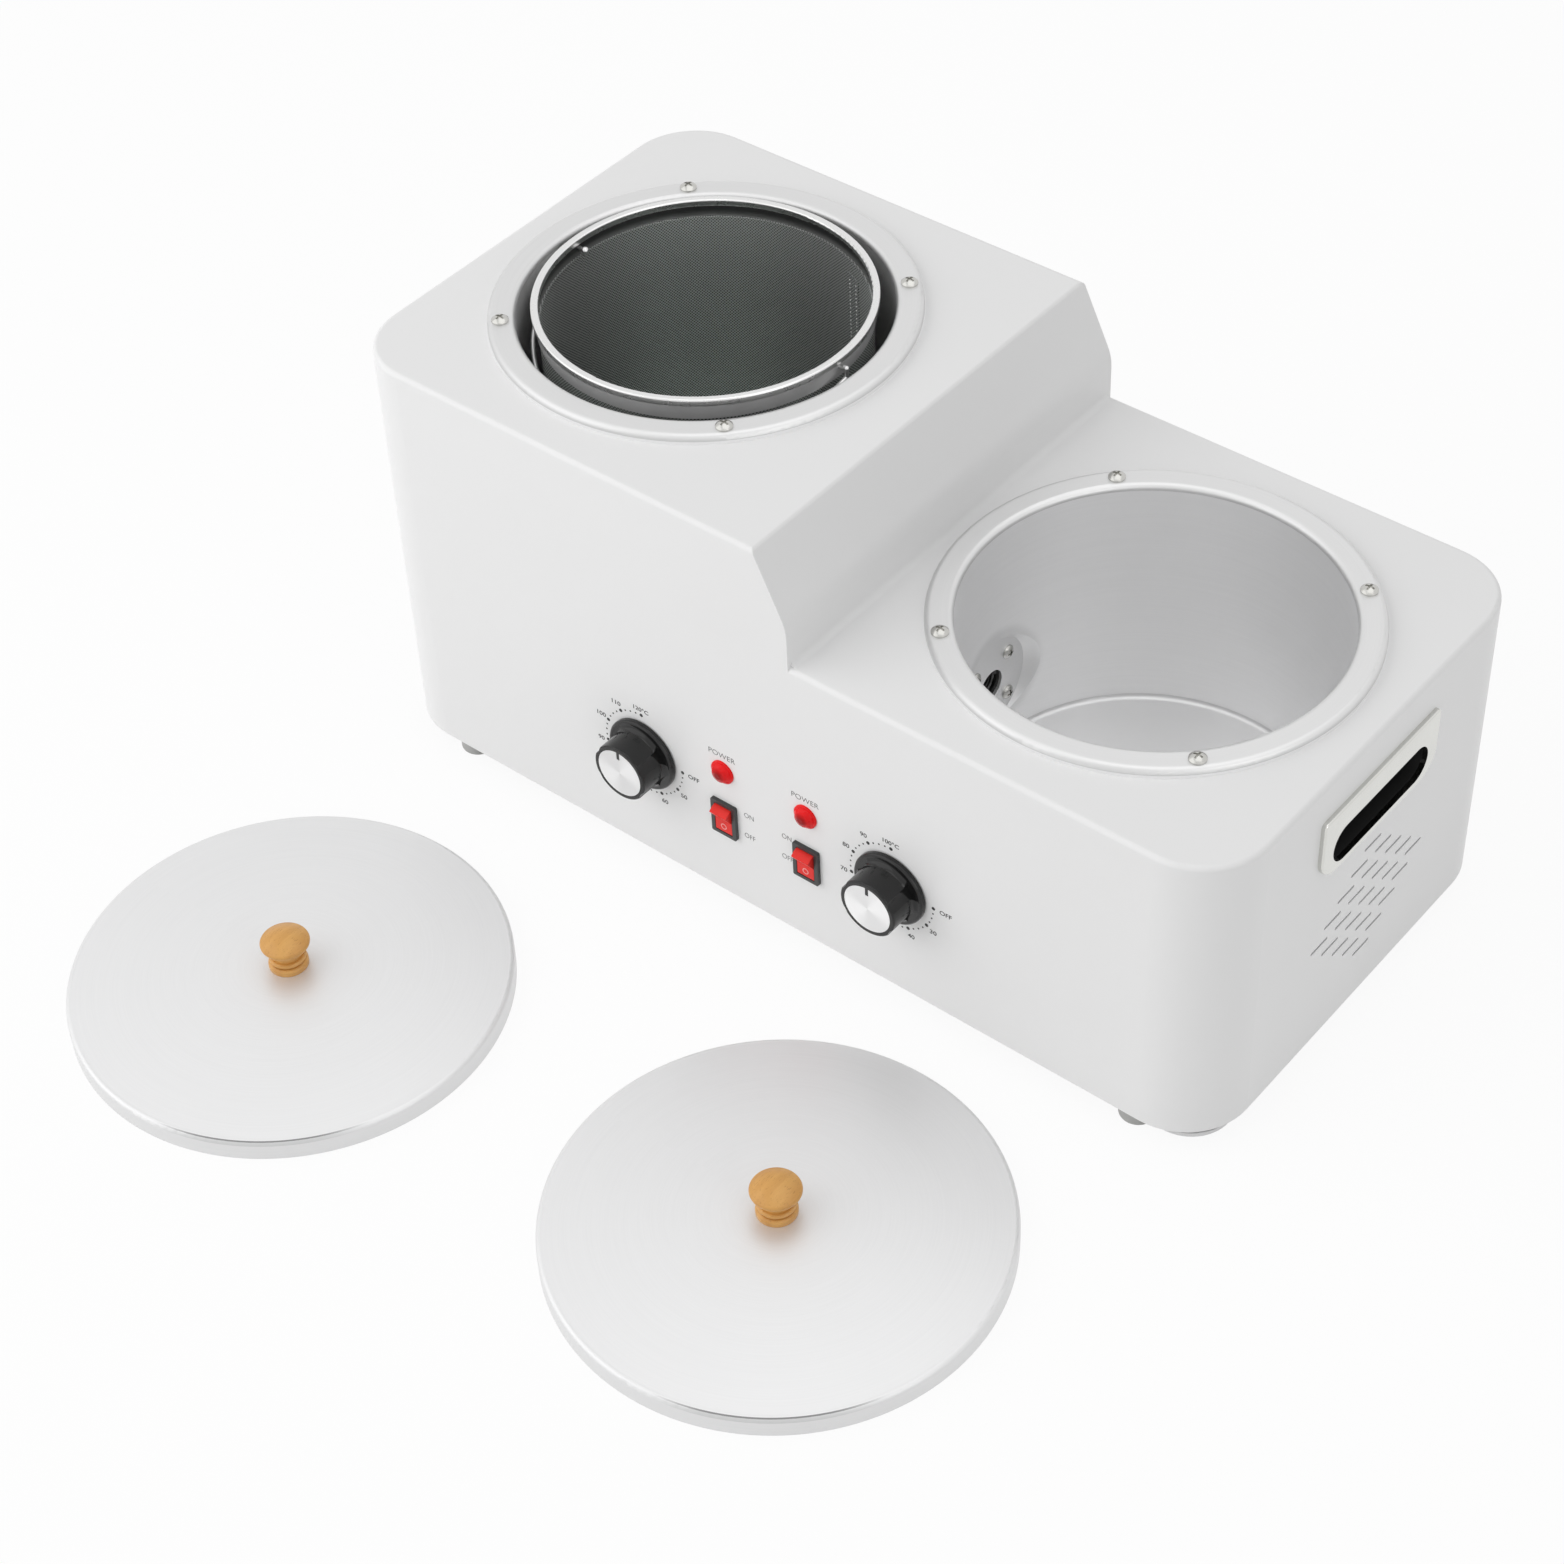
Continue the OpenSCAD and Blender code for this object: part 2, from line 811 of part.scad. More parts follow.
// Pot hung in its deck, with a flat pressed out for the drain on the side s
module pot(x, deck_z, depth, s) {
    translate([x, 0, 0])
        difference() {
            union() {
                translate([0, 0, deck_z])
                    rotate_extrude()
                        pot_outside(depth);
                translate([0, 0, drain_z])
                    rotate([0, s * 90, 0])
                        seat_cone(pot_t);
            }
            translate([0, 0, deck_z])
                rotate_extrude()
                    pot_inside(depth);
            translate([0, 0, drain_z])
                rotate([0, s * 90, 0])
                    seat_cone(0);
            translate([s * (seat_d - past), 0, drain_z])
                rotate([90, 0, s * 90])
                    linear_extrude(pot_t + 2 * past) {
                        circle(drain_r);
                        at_drain_screws()
                            circle(drain_screw_r + hole_gap);
                    }
            translate([0, 0, deck_z])
                at_rim_screws()
                    cylinder(r = rim_screw_r + hole_gap, h = rim_h + past);
        }
}

module upper_pot() {
    color("gainsboro")
        pot(-pot_x, upper_z, upper_depth, 1);
}

module lower_pot() {
    color("gainsboro")
        pot(pot_x, lower_z, lower_depth, -1);
}

module pot_gasket(x, deck_z) {
    color("darkgray")
        translate([x, 0, deck_z])
            difference() {
                cylinder(r = rim_r - pot_t - pass_gap, h = rim_h - pot_t);
                translate([0, 0, -past])
                    cylinder(r = pot_out_r + pass_gap, h = rim_h + 2 * past);
                translate([0, 0, -past])
                    at_rim_screws()
                        cylinder(r = rim_screw_r + hole_gap, h = rim_h + 2 * past);
            }
}

module upper_pot_gasket() {
    pot_gasket(-pot_x, upper_z);
}

module lower_pot_gasket() {
    pot_gasket(pot_x, lower_z);
}

module pot_screws(x, deck_z) {
    color("silver")
        translate([x, 0, deck_z + rim_h])
            at_rim_screws()
                pan_screw(rim_head_r, rim_head_h, rim_screw_r, rim_screw_l);
}

module upper_pot_screws() {
    pot_screws(-pot_x, upper_z);
}

module lower_pot_screws() {
    pot_screws(pot_x, lower_z);
}

module heater_band(x) {
    color("tan")
        translate([x, 0, heater_z])
            difference() {
                union() {
                    difference() {
                        cylinder(r = heater_out_r, h = heater_h);
                        translate([-heater_gap / 2, 0, -past])
                            cube([heater_gap, heater_out_r + past, heater_h + 2 * past]);
                    }
                    for (s = sides)
                        translate([s * (heater_gap + lug_t) / 2 - lug_t / 2, heater_in_r, heater_h / 4])
                            cube([lug_t, lug_l, heater_h / 2]);
                }
                translate([0, 0, -past])
                    cylinder(r = heater_in_r, h = heater_h + 2 * past);
                translate([0, lug_hole_y, heater_h / 2])
                    rotate([0, 90, 0])
                        cylinder(r = clamp_r + hole_gap, h = 4 * heater_gap, center = true);
            }
}

module upper_heater_band() {
    heater_band(-pot_x);
}

module lower_heater_band() {
    heater_band(pot_x);
}

module heater_clamp_screws() {
    reach = heater_gap / 2 + lug_t;
    color("silver")
        for (s = sides)
            translate([s * pot_x, lug_hole_y, heater_z + heater_h / 2])
                rotate([0, 90, 0]) {
                    translate([0, 0, reach])
                        pan_screw(clamp_head_r, clamp_head_h, clamp_r,
                            2 * reach + clamp_nut_t + screw_past);
                    translate([0, 0, -reach - clamp_nut_t])
                        difference() {
                            cylinder(r = clamp_nut_r, h = clamp_nut_t, $fn = 6);
                            translate([0, 0, -past])
                                cylinder(r = clamp_r + thread_gap, h = clamp_nut_t + 2 * past);
                        }
                }
}

module insulation(x) {
    h = heater_h + 2 * insulation_over;
    color("beige")
        translate([x, 0, heater_z - insulation_over])
            difference() {
                cylinder(r = insulation_r, h = h);
                translate([0, 0, -past])
                    cylinder(r = heater_out_r + fit_gap, h = h + 2 * past);
                translate([-insulation_slot_w / 2, 0, -past])
                    cube([insulation_slot_w, insulation_r + past, h + 2 * past]);
            }
}

module upper_insulation() {
    insulation(-pot_x);
}

module lower_insulation() {
    insulation(pot_x);
}

module drain_tube() {
    color("dimgray")
        translate([-drain_half, 0, drain_z])
            out_of_right()
                difference() {
                    union() {
                        cylinder(r = drain_r + drain_wall, h = 2 * drain_half);
                        for (z = [0, 2 * drain_half - flange_t])
                            translate([0, 0, z])
                                linear_extrude(flange_t)
                                    rounded_rect(flange_w, flange_w, flange_corner_r);
                    }
                    translate([0, 0, -past]) {
                        cylinder(r = drain_r, h = 2 * drain_half + 2 * past);
                        at_drain_screws()
                            cylinder(r = drain_screw_r + thread_gap, h = 2 * drain_half + 2 * past);
                    }
                }
}

module drain_gaskets() {
    color("dimgray")
        for (s = sides)
            translate([s * (drain_half + drain_gasket_t / 2), 0, drain_z])
                out_of_right()
                    linear_extrude(drain_gasket_t, center = true)
                        difference() {
                            rounded_rect(flange_w, flange_w, flange_corner_r);
                            circle(drain_r);
                            at_drain_screws()
                                circle(drain_screw_r + hole_gap);
                        }
}

module drain_screws() {
    color("silver")
        for (s = sides)
            translate([s * seat_face_x, 0, drain_z])
                rotate([90, 0, s * 90])
                    at_drain_screws()
                        pan_screw(drain_head_r, drain_head_h, drain_screw_r,
                            pot_t + drain_gasket_t + flange_t + screw_past);
}

module filter_basket() {
    mesh_top = ring_z - ring_r - mesh_below;
    mesh_z = basket_z + mesh_floor_rise;
    color("dimgray")
        translate([-pot_x, 0, 0])
            difference() {
                translate([0, 0, mesh_z])
                    cylinder(r = mesh_r, h = mesh_top - mesh_z);
                translate([0, 0, mesh_z + mesh_t])
                    cylinder(r = mesh_r - mesh_t, h = mesh_top);
            }
}

module bail_holes() {
    translate([0, 0, pivot_z])
        rotate([0, 90, 0])
            cylinder(r = bail_wire_r + run_gap, h = 4 * mesh_r, center = true);
}

module basket_rim() {
    color("silver")
        translate([-pot_x, 0, 0])
            difference() {
                rotate_extrude() {
                    translate([band_r, ring_z])
                        rounded_rect(2 * ring_r, 2 * ring_r, ring_edge_r);
                    translate([mesh_r + fit_gap, ring_z - band_h])
                        square([mesh_t, band_h]);
                }
                bail_holes();
            }
}

module basket_foot_ring() {
    color("silver")
        translate([-pot_x, 0, basket_z])
            difference() {
                cylinder(r = band_r, h = foot_ring_h);
                translate([0, 0, -past])
                    cylinder(r = mesh_r + fit_gap, h = foot_ring_h + 2 * past);
            }
}

// Wire bail: a hook through the band on each side, a short crank, and the bow in front
module basket_bail() {
    color("silver")
        translate([-pot_x, 0, pivot_z]) {
            translate([0, 0, -bail_crank])
                rotate([bail_drop, 0, 0])
                    rotate([0, 0, 180])
                        rotate_extrude(angle = 180)
                            translate([bail_r, 0])
                                circle(bail_wire_r);
            for (s = sides) {
                translate([s * bail_r, 0, -bail_crank]) {
                    cylinder(r = bail_wire_r, h = bail_crank);
                    for (z = [0, bail_crank])
                        translate([0, 0, z])
                            sphere(bail_wire_r + fit_gap);
                }
                translate([s * (hook_in + bail_r) / 2, 0, 0])
                    rotate([0, 90, 0])
                        cylinder(r = bail_wire_r, h = bail_r - hook_in, center = true);
                translate([s * hook_in, 0, 0])
                    sphere(hook_end_r);
            }
        }
}

// Half section of the space under the lid's outside, set in by t: a skirt, a rounded edge and a dome
module lid_section(t) {
    half_top(lid_r - t, lid_h - t, lid_edge_r - t);
    intersection() {
        translate([0, lid_top - lid_dome_r])
            circle(lid_dome_r - t);
        translate([0, lid_h - 2 * lid_t])
            square([lid_dome_w, lid_dome + 2 * lid_t]);
    }
}

module lid(x, y) {
    color("silver")
        translate([x, y, 0])
            rotate_extrude()
                difference() {
                    lid_section(0);
                    lid_section(lid_t);
                    translate([0, -past])
                        square([lid_r - lid_t, lid_h / 2]);
                    square([rim_screw_r + hole_gap, lid_top + past]);
                }
}

module left_lid() {
    lid(left_lid_x, left_lid_y);
}

module right_lid() {
    lid(right_lid_x, right_lid_y);
}

// Turned wooden knob: foot, bead, neck and domed cap
module lid_knob(x, y) {
    foot_w = lid_knob_r - 2.3;
    foot_round = 1.7;
    bead_w = lid_knob_r - 2.9;
    bead_r = 1.3;
    bead_z = 5.5;
    neck_w = lid_knob_r - 4.6;
    cap_h = 6.2;
    cap_edge_r = 1.7;
    cap_z = lid_knob_h - cap_h;
    dome_z = cap_z + 2 * cap_edge_r;
    dome_sag = cap_h - cap_edge_r - 1.2;
    dome_w = lid_knob_r - 0.6;
    dome_r = (dome_w * dome_w + dome_sag * dome_sag) / (2 * dome_sag);
    screw_end = 5;
    color("peru")
        translate([x, y, lid_top])
            rotate_extrude()
                difference() {
                    union() {
                        square([neck_w, cap_z + past]);
                        translate([foot_w - foot_round, foot_round])
                            circle(foot_round);
                        square([foot_w - foot_round, 2 * foot_round]);
                        square([foot_w, foot_round]);
                        translate([0, bead_z - bead_r])
                            square([bead_w - bead_r, 2 * bead_r]);
                        translate([bead_w - bead_r, bead_z])
                            circle(bead_r);
                        translate([0, cap_z])
                            square([lid_knob_r - cap_edge_r, dome_z - cap_z]);
                        translate([lid_knob_r - cap_edge_r, cap_z + cap_edge_r])
                            circle(cap_edge_r);
                        intersection() {
                            translate([0, lid_knob_h - dome_r])
                                circle(dome_r);
                            translate([0, cap_z + cap_edge_r])
                                square([dome_w, cap_h]);
                        }
                    }
                    square([rim_screw_r + thread_gap, lid_knob_h - screw_end]);
                }
}

module left_lid_knob() {
    lid_knob(left_lid_x, left_lid_y);
}

module right_lid_knob() {
    lid_knob(right_lid_x, right_lid_y);
}

module lid_screw(x, y) {
    color("silver")
        translate([x, y, lid_top - lid_t - lid_screw_gap])
            mirror([0, 0, 1])
                pan_screw(rim_head_r, rim_head_h, rim_screw_r, lid_t + lid_screw_l);
}

module left_lid_screw() {
    lid_screw(left_lid_x, left_lid_y);
}

module right_lid_screw() {
    lid_screw(right_lid_x, right_lid_y);
}

// Round shaft with one flat on the side towards 6 o'clock
module d_shape(r) {
    difference() {
        circle(r);
        translate([-r, -r - past])
            square([2 * r, past + shaft_flat]);
    }
}

module at_dial(s) {
    translate([s * dial_x, panel_y, dial_z])
        out_of_front()
            children();
}

module control_knob(s) {
    color("black")
        at_dial(s)
            difference() {
                union() {
                    difference() {
                        rotate_extrude()
                            knob_section();
                        for (a = flute_angles)
                            rotate([0, 0, a])
                                translate([0, grip_r + flute_r - flute_depth, skirt_h])
                                    cylinder(r = flute_r, h = knob_h);
                    }
                    translate([-pointer_w / 2, disc_r - pointer_l, knob_h - disc_t - pointer_root])
                        cube([pointer_w, pointer_l + pointer_root, disc_t + pointer_root - pointer_sink]);
                }
                linear_extrude(shaft_in_knob + shaft_end_gap)
                    d_shape(shaft_r + thread_gap);
            }
}

// Half section of the knob: skirt, cove, grip, and a recess for the disc
module knob_section() {
    difference() {
        union() {
            translate([0, knob_gap])
                half_top(skirt_r, skirt_h - knob_gap, skirt_edge_r);
            half_top(grip_r, knob_h, rim_round);
            translate([grip_r, skirt_h])
                difference() {
                    translate([-past, -past])
                        square(cove_r + past);
                    translate([cove_r, cove_r])
                        circle(cove_r);
                }
        }
        square([knob_pocket_r, knob_pocket_z]);
        translate([0, knob_h - disc_t])
            square([disc_r, disc_t + past]);
    }
}

module left_control_knob() {
    control_knob(-1);
}

module right_control_knob() {
    control_knob(1);
}

// Spun disc, slightly dished, with a notch for the pointer
module knob_disc(s) {
    color("whitesmoke")
        at_dial(s)
            translate([0, 0, knob_h - disc_t])
                difference() {
                    cylinder(r = disc_r - fit_gap, h = disc_t - disc_sink);
                    translate([0, 0, disc_t - disc_dish])
                        cylinder(r1 = fit_gap, r2 = disc_r - disc_margin, h = disc_dish);
                    translate([-pointer_w / 2 - fit_gap, disc_r - pointer_l - fit_gap, -past])
                        cube([pointer_w + 2 * fit_gap, pointer_l + past, disc_t + 2 * past]);
                }
}

module left_knob_disc() {
    knob_disc(-1);
}

module right_knob_disc() {
    knob_disc(1);
}

module thermostat_shaft(s) {
    color("silver")
        at_dial(s) {
            translate([0, 0, bushing_out + shaft_step])
                linear_extrude(shaft_in_knob - bushing_out - shaft_step)
                    d_shape(shaft_r);
            translate([0, 0, -sheet - shaft_in_body])
                cylinder(r = shaft_r, h = sheet + shaft_in_body + bushing_out + shaft_step);
        }
}

module left_thermostat_shaft() {
    thermostat_shaft(-1);
}

module right_thermostat_shaft() {
    thermostat_shaft(1);
}

// Thermostat behind the panel, with its bushing through the sheet and two blades behind
module thermostat(s) {
    color("ivory")
        at_dial(s)
            difference() {
                union() {
                    translate([0, 0, -sheet - thermostat_d])
                        linear_extrude(thermostat_d)
                            rounded_rect(thermostat_w, thermostat_h, thermostat_corner_r);
                    translate([0, 0, -sheet - past])
                        cylinder(r = bushing_r, h = sheet + past + bushing_out);
                    for (k = sides)
                        translate([k * thermostat_blade_x - blade_t / 2, -blade_w / 2,
                            -sheet - thermostat_d - blade_l])
                            cube([blade_t, blade_w, blade_l + past]);
                }
                translate([0, 0, -sheet - shaft_in_body - shaft_end_gap])
                    cylinder(r = shaft_r + run_gap, h = sheet + shaft_in_body + 2 * bushing_out);
                for (k = sides)
                    translate([k * thermostat_pitch / 2, 0, -sheet - thermostat_screw_l - past])
                        cylinder(r = thermostat_screw_r + thread_gap, h = thermostat_screw_l + 2 * past);
            }
}

module left_thermostat() {
    thermostat(-1);
}

module right_thermostat() {
    thermostat(1);
}

module thermostat_screws() {
    color("silver")
        for (s = sides, k = sides)
            at_dial(s)
                translate([k * thermostat_pitch / 2, 0, 0])
                    pan_screw(thermostat_head_r, thermostat_head_h, thermostat_screw_r,
                        sheet + thermostat_screw_l);
}

// Round rod from one point to the next
module rod(a, b, r) {
    v = b - a;
    translate(a)
        rotate([0, acos(v[2] / norm(v)), atan2(v[1], v[0])])
            cylinder(r = r, h = norm(v));
}

// Sensor bulb against the pot wall, with its capillary over to the back of the thermostat
module sensor(s) {
    bulb_x = s * (pot_x - bulb_axis_r * cos(bulb_angle));
    bulb_y = -bulb_axis_r * sin(bulb_angle);
    top_z = bulb_z + bulb_l;
    back_y = panel_back_y + thermostat_d;
    route = [
        [bulb_x, bulb_y, top_z - past],
        [bulb_x, bulb_y, top_z + capillary_rise],
        [s * dial_x, back_y + capillary_behind, top_z + capillary_rise],
        [s * dial_x, back_y + capillary_behind, capillary_in_z],
        [s * dial_x, back_y, capillary_in_z]
    ];
    color("peru") {
        translate([bulb_x, bulb_y, bulb_z])
            cylinder(r = bulb_r, h = bulb_l);
        for (i = [1 : len(route) - 1])
            rod(route[i - 1], route[i], capillary_r);
        for (i = [1 : len(route) - 2])
            translate(route[i])
                sphere(capillary_r + fit_gap);
    }
}

module left_sensor() {
    sensor(-1);
}

module right_sensor() {
    sensor(1);
}

module at_lamp(s) {
    translate([s * switch_x, panel_y, lamp_z])
        out_of_front()
            children();
}

// Domed lens on a flange, with a stem through the panel
module pilot_lens(s) {
    dome_h = lens_h - lens_flange_h;
    dome_w = lens_r - lens_flange_w;
    ball_r = (dome_w * dome_w + dome_h * dome_h) / (2 * dome_h);
    color("red")
        at_lamp(s)
            rotate_extrude() {
                half_top(lens_r, lens_flange_h, lens_flange_r);
                intersection() {
                    translate([0, lens_h - ball_r])
                        circle(ball_r);
                    translate([0, lens_flange_h / 2])
                        square([dome_w, lens_h]);
                }
                translate([0, -lens_stem_l])
                    square([lens_stem_r, lens_stem_l + lens_flange_h / 2]);
            }
}

module left_pilot_lens() {
    pilot_lens(-1);
}

module right_pilot_lens() {
    pilot_lens(1);
}

// Lamp barrel behind the panel, with two blades
module pilot_body(s) {
    color("darkslategray")
        at_lamp(s)
            translate([0, 0, -sheet]) {
                difference() {
                    union() {
                        translate([0, 0, -pilot_body_l])
                            cylinder(r = pilot_body_r, h = pilot_body_l);
                        translate([0, 0, -pilot_collar_h])
                            cylinder(r = pilot_body_r + pilot_collar_w, h = pilot_collar_h);
                    }
                    translate([0, 0, -lens_stem_l])
                        cylinder(r = lens_stem_r + fit_gap, h = lens_stem_l + past);
                }
                for (k = sides)
                    translate([k * pilot_blade_x - blade_t / 2, -blade_w / 2, -pilot_body_l - blade_l])
                        cube([blade_t, blade_w, blade_l + past]);
            }
}

module left_pilot_body() {
    pilot_body(-1);
}

module right_pilot_body() {
    pilot_body(1);
}

module at_switch(s) {
    translate([s * switch_x, panel_y, switch_z])
        out_of_front()
            children();
}

// Switch housing: bezel in front of the panel, body behind it, and a well for the rocker
module switch_housing(s) {
    well_w = rocker_w + 2 * rocker_gap;
    well_h = 2 * (rocker_r + rocker_gap);
    color("black")
        at_switch(s)
            difference() {
                union() {
                    linear_extrude(bezel_t)
                        rounded_rect(bezel_w, bezel_h, bezel_corner_r);
                    translate([0, 0, -switch_body_d / 2 + past / 2])
                        cube([bezel_w - 2 * switch_body_gap, bezel_h - 2 * switch_body_gap,
                            switch_body_d + past], center = true);
                }
                translate([-well_w / 2, -well_h / 2, -rocker_r])
                    cube([well_w, well_h, rocker_r + bezel_t + past]);
                rotate([0, 90, 0])
                    cylinder(r = rocker_pin_r + run_gap, h = rocker_w + 2 * rocker_pin_l + 2 * rocker_gap,
                        center = true);
            }
}

module left_switch_housing() {
    switch_housing(-1);
}

module right_switch_housing() {
    switch_housing(1);
}

// Rocker with two faces that meet in a shallow valley, tipped to off
module rocker(s) {
    reach = rocker_r + past;
    lift = reach * tan(rocker_swing / 2);
    color("red")
        translate([s * switch_x, panel_y, switch_z])
            rotate([180, -90, 0]) {
                linear_extrude(rocker_w, center = true)
                    rotate(rocker_swing / 2)
                        intersection() {
                            circle(rocker_r);
                            polygon([
                                [-reach, -rocker_back],
                                [reach, -rocker_back],
                                [reach, rocker_face + lift],
                                [0, rocker_face],
                                [-reach, rocker_face + lift]
                            ]);
                        }
                cylinder(r = rocker_pin_r, h = rocker_w + 2 * rocker_pin_l, center = true);
            }
}

module left_rocker() {
    rocker(-1);
}

module right_rocker() {
    rocker(1);
}

module switch_terminals() {
    color("goldenrod")
        for (s = sides, k = sides)
            at_switch(s)
                translate([-blade_w / 2, k * switch_blade_y - blade_t / 2, -switch_body_d - blade_l])
                    cube([blade_w, blade_t, blade_l]);
}

// Bezel with sharp upper corners and round lower corners, and the slot in its lower half
module handle_bezel() {
    mid = (bezel_above - bezel_below) / 2;
    color("lightgray")
        translate([casing_l / 2, 0, handle_z])
            out_of_right()
                difference() {
                    translate([0, mid, 0]) {
                        rounded_block(handle_l, handle_h, handle_t, handle_low_r, handle_edge_r);
                        translate([0, handle_low_r / 2, 0])
                            rounded_block(handle_l, handle_h - handle_low_r, handle_t, handle_top_r,
                                handle_edge_r);
                    }
                    translate([0, 0, -past])
                        linear_extrude(handle_t + 2 * past)
                            stadium(slot_l, slot_h);
                }
}

module right_handle_bezel() {
    handle_bezel();
}

module left_handle_bezel() {
    mirror([1, 0, 0])
        handle_bezel();
}

module handle_cup() {
    color("black")
        translate([casing_l / 2 - cup_depth, 0, handle_z])
            out_of_right()
                difference() {
                    linear_extrude(cup_depth)
                        stadium(slot_l + 2 * cup_wall, slot_h + 2 * cup_wall);
                    translate([0, 0, cup_back])
                        linear_extrude(cup_depth)
                            stadium(slot_l, slot_h);
                }
}

module right_handle_cup() {
    handle_cup();
}

module left_handle_cup() {
    mirror([1, 0, 0])
        handle_cup();
}

module at_inlet() {
    translate([inlet_x, -panel_y, inlet_z])
        out_of_back()
            children();
}

// Inlet flange outside the back, with the socket body behind it
module power_inlet() {
    color("black")
        at_inlet()
            difference() {
                union() {
                    linear_extrude(inlet_t)
                        rounded_rect(inlet_w, inlet_h, inlet_corner_r);
                    translate([0, 0, -inlet_body_d])
                        linear_extrude(inlet_body_d + past)
                            square([socket_w + 2 * inlet_wall, socket_h + 2 * inlet_wall], center = true);
                }
                translate([0, 0, inlet_t - socket_d])
                    linear_extrude(socket_d + past)
                        socket_outline();
                for (p = pin_places)
                    translate([p[0], p[1], -inlet_body_d / 2])
                        cube([pin_t + 2 * fit_gap, pin_w + 2 * fit_gap, inlet_body_d + 2 * past],
                            center = true);
                for (s = sides)
                    translate([s * inlet_screw_x, 0, -past])
                        cylinder(r = inlet_screw_r + hole_gap, h = inlet_t + 2 * past);
            }
}

// Socket mouth with its two upper corners cut off
module socket_outline() {
    polygon([
        [-socket_w / 2, -socket_h / 2],
        [socket_w / 2, -socket_h / 2],
        [socket_w / 2, socket_h / 2 - socket_cut],
        [socket_w / 2 - socket_cut, socket_h / 2],
        [socket_cut - socket_w / 2, socket_h / 2],
        [-socket_w / 2, socket_h / 2 - socket_cut]
    ]);
}

module inlet_pins() {
    pin_l = inlet_t - pin_short + inlet_body_d + pin_tail;
    color("goldenrod")
        at_inlet()
            for (p = pin_places)
                translate([p[0] - pin_t / 2, p[1] - pin_w / 2, -inlet_body_d - pin_tail])
                    cube([pin_t, pin_w, pin_l]);
}

module inlet_screws() {
    color("silver")
        at_inlet()
            for (s = sides)
                translate([s * inlet_screw_x, 0, inlet_t])
                    pan_screw(inlet_head_r, inlet_head_h, inlet_screw_r, inlet_t + sheet + 2 * screw_past);
}

// Ceramic terminal block on the base, with a wire hole and a screw well for each way
module terminal_block() {
    pitch = block_l / block_ways;
    color("linen")
        translate([inlet_x, block_y, foot_h + base_t])
            difference() {
                translate([-block_l / 2, -block_w / 2, 0])
                    cube([block_l, block_w, block_h]);
                for (i = [0 : block_ways - 1])
                    translate([(i - (block_ways - 1) / 2) * pitch, 0, block_h * 0.45]) {
                        rotate([90, 0, 0])
                            cylinder(r = block_wire_r, h = block_w + 2 * past, center = true);
                        for (s = sides)
                            translate([0, s * block_w / 4, 0])
                                cylinder(r = block_screw_r, h = block_h);
                    }
            }
}

casing();
base_plate();
base_screws();
foot_front_left();
foot_front_right();
foot_back_left();
foot_back_right();
foot_screws();
upper_pot();
lower_pot();
upper_pot_gasket();
lower_pot_gasket();
upper_pot_screws();
lower_pot_screws();
upper_heater_band();
lower_heater_band();
heater_clamp_screws();
upper_insulation();
lower_insulation();
drain_tube();
drain_gaskets();
drain_screws();
filter_basket();
basket_rim();
basket_foot_ring();
basket_bail();
left_lid();
left_lid_knob();
left_lid_screw();
right_lid();
right_lid_knob();
right_lid_screw();
left_control_knob();
left_knob_disc();
left_thermostat_shaft();
left_thermostat();
right_control_knob();
right_knob_disc();
right_thermostat_shaft();
right_thermostat();
thermostat_screws();
left_sensor();
right_sensor();
left_pilot_lens();
right_pilot_lens();
left_pilot_body();
right_pilot_body();
left_switch_housing();
right_switch_housing();
left_rocker();
right_rocker();
switch_terminals();
left_handle_bezel();
right_handle_bezel();
left_handle_cup();
right_handle_cup();
power_inlet();
inlet_pins();
inlet_screws();
terminal_block();
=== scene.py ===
"""Looks of the double wax warmer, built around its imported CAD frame. Metres, +Z up."""

import math

import bmesh
import bpy
from mathutils import Matrix, Vector


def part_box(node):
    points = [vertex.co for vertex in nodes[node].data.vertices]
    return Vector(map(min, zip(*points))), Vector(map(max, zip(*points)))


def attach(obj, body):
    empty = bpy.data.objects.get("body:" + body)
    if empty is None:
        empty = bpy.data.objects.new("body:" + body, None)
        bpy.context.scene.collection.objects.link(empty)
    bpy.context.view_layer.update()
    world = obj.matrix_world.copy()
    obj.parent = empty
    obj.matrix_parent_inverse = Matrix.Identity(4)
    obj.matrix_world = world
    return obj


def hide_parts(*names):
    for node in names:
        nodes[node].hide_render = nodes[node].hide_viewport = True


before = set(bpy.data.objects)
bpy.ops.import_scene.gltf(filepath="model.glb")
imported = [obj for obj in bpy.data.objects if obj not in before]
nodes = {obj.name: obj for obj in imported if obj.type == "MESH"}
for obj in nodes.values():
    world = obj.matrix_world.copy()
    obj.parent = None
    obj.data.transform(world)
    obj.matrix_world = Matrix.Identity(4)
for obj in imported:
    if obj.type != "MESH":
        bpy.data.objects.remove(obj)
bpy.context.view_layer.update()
MM = 0.001


# Measures read from the frame

def centre_of(node):
    low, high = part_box(node)
    return (low + high) / 2


def radius_of(node):
    low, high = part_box(node)
    return (high.x - low.x) / 2


PANEL_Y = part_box("casing")[0].y
UPPER_POT = centre_of("upper_pot")
DRAIN = centre_of("drain_tube")
MESH_R = radius_of("filter_basket")
RING_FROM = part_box("basket_rim")[1].z - 3.8 * MM
TRAY_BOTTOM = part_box("base_plate")[0].z
# Top of the tray's edge; above it the tray is painted near black as a painted shadow line under the casing.
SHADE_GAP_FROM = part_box("base_plate")[1].z - 1.3 * MM


# Shader graphs

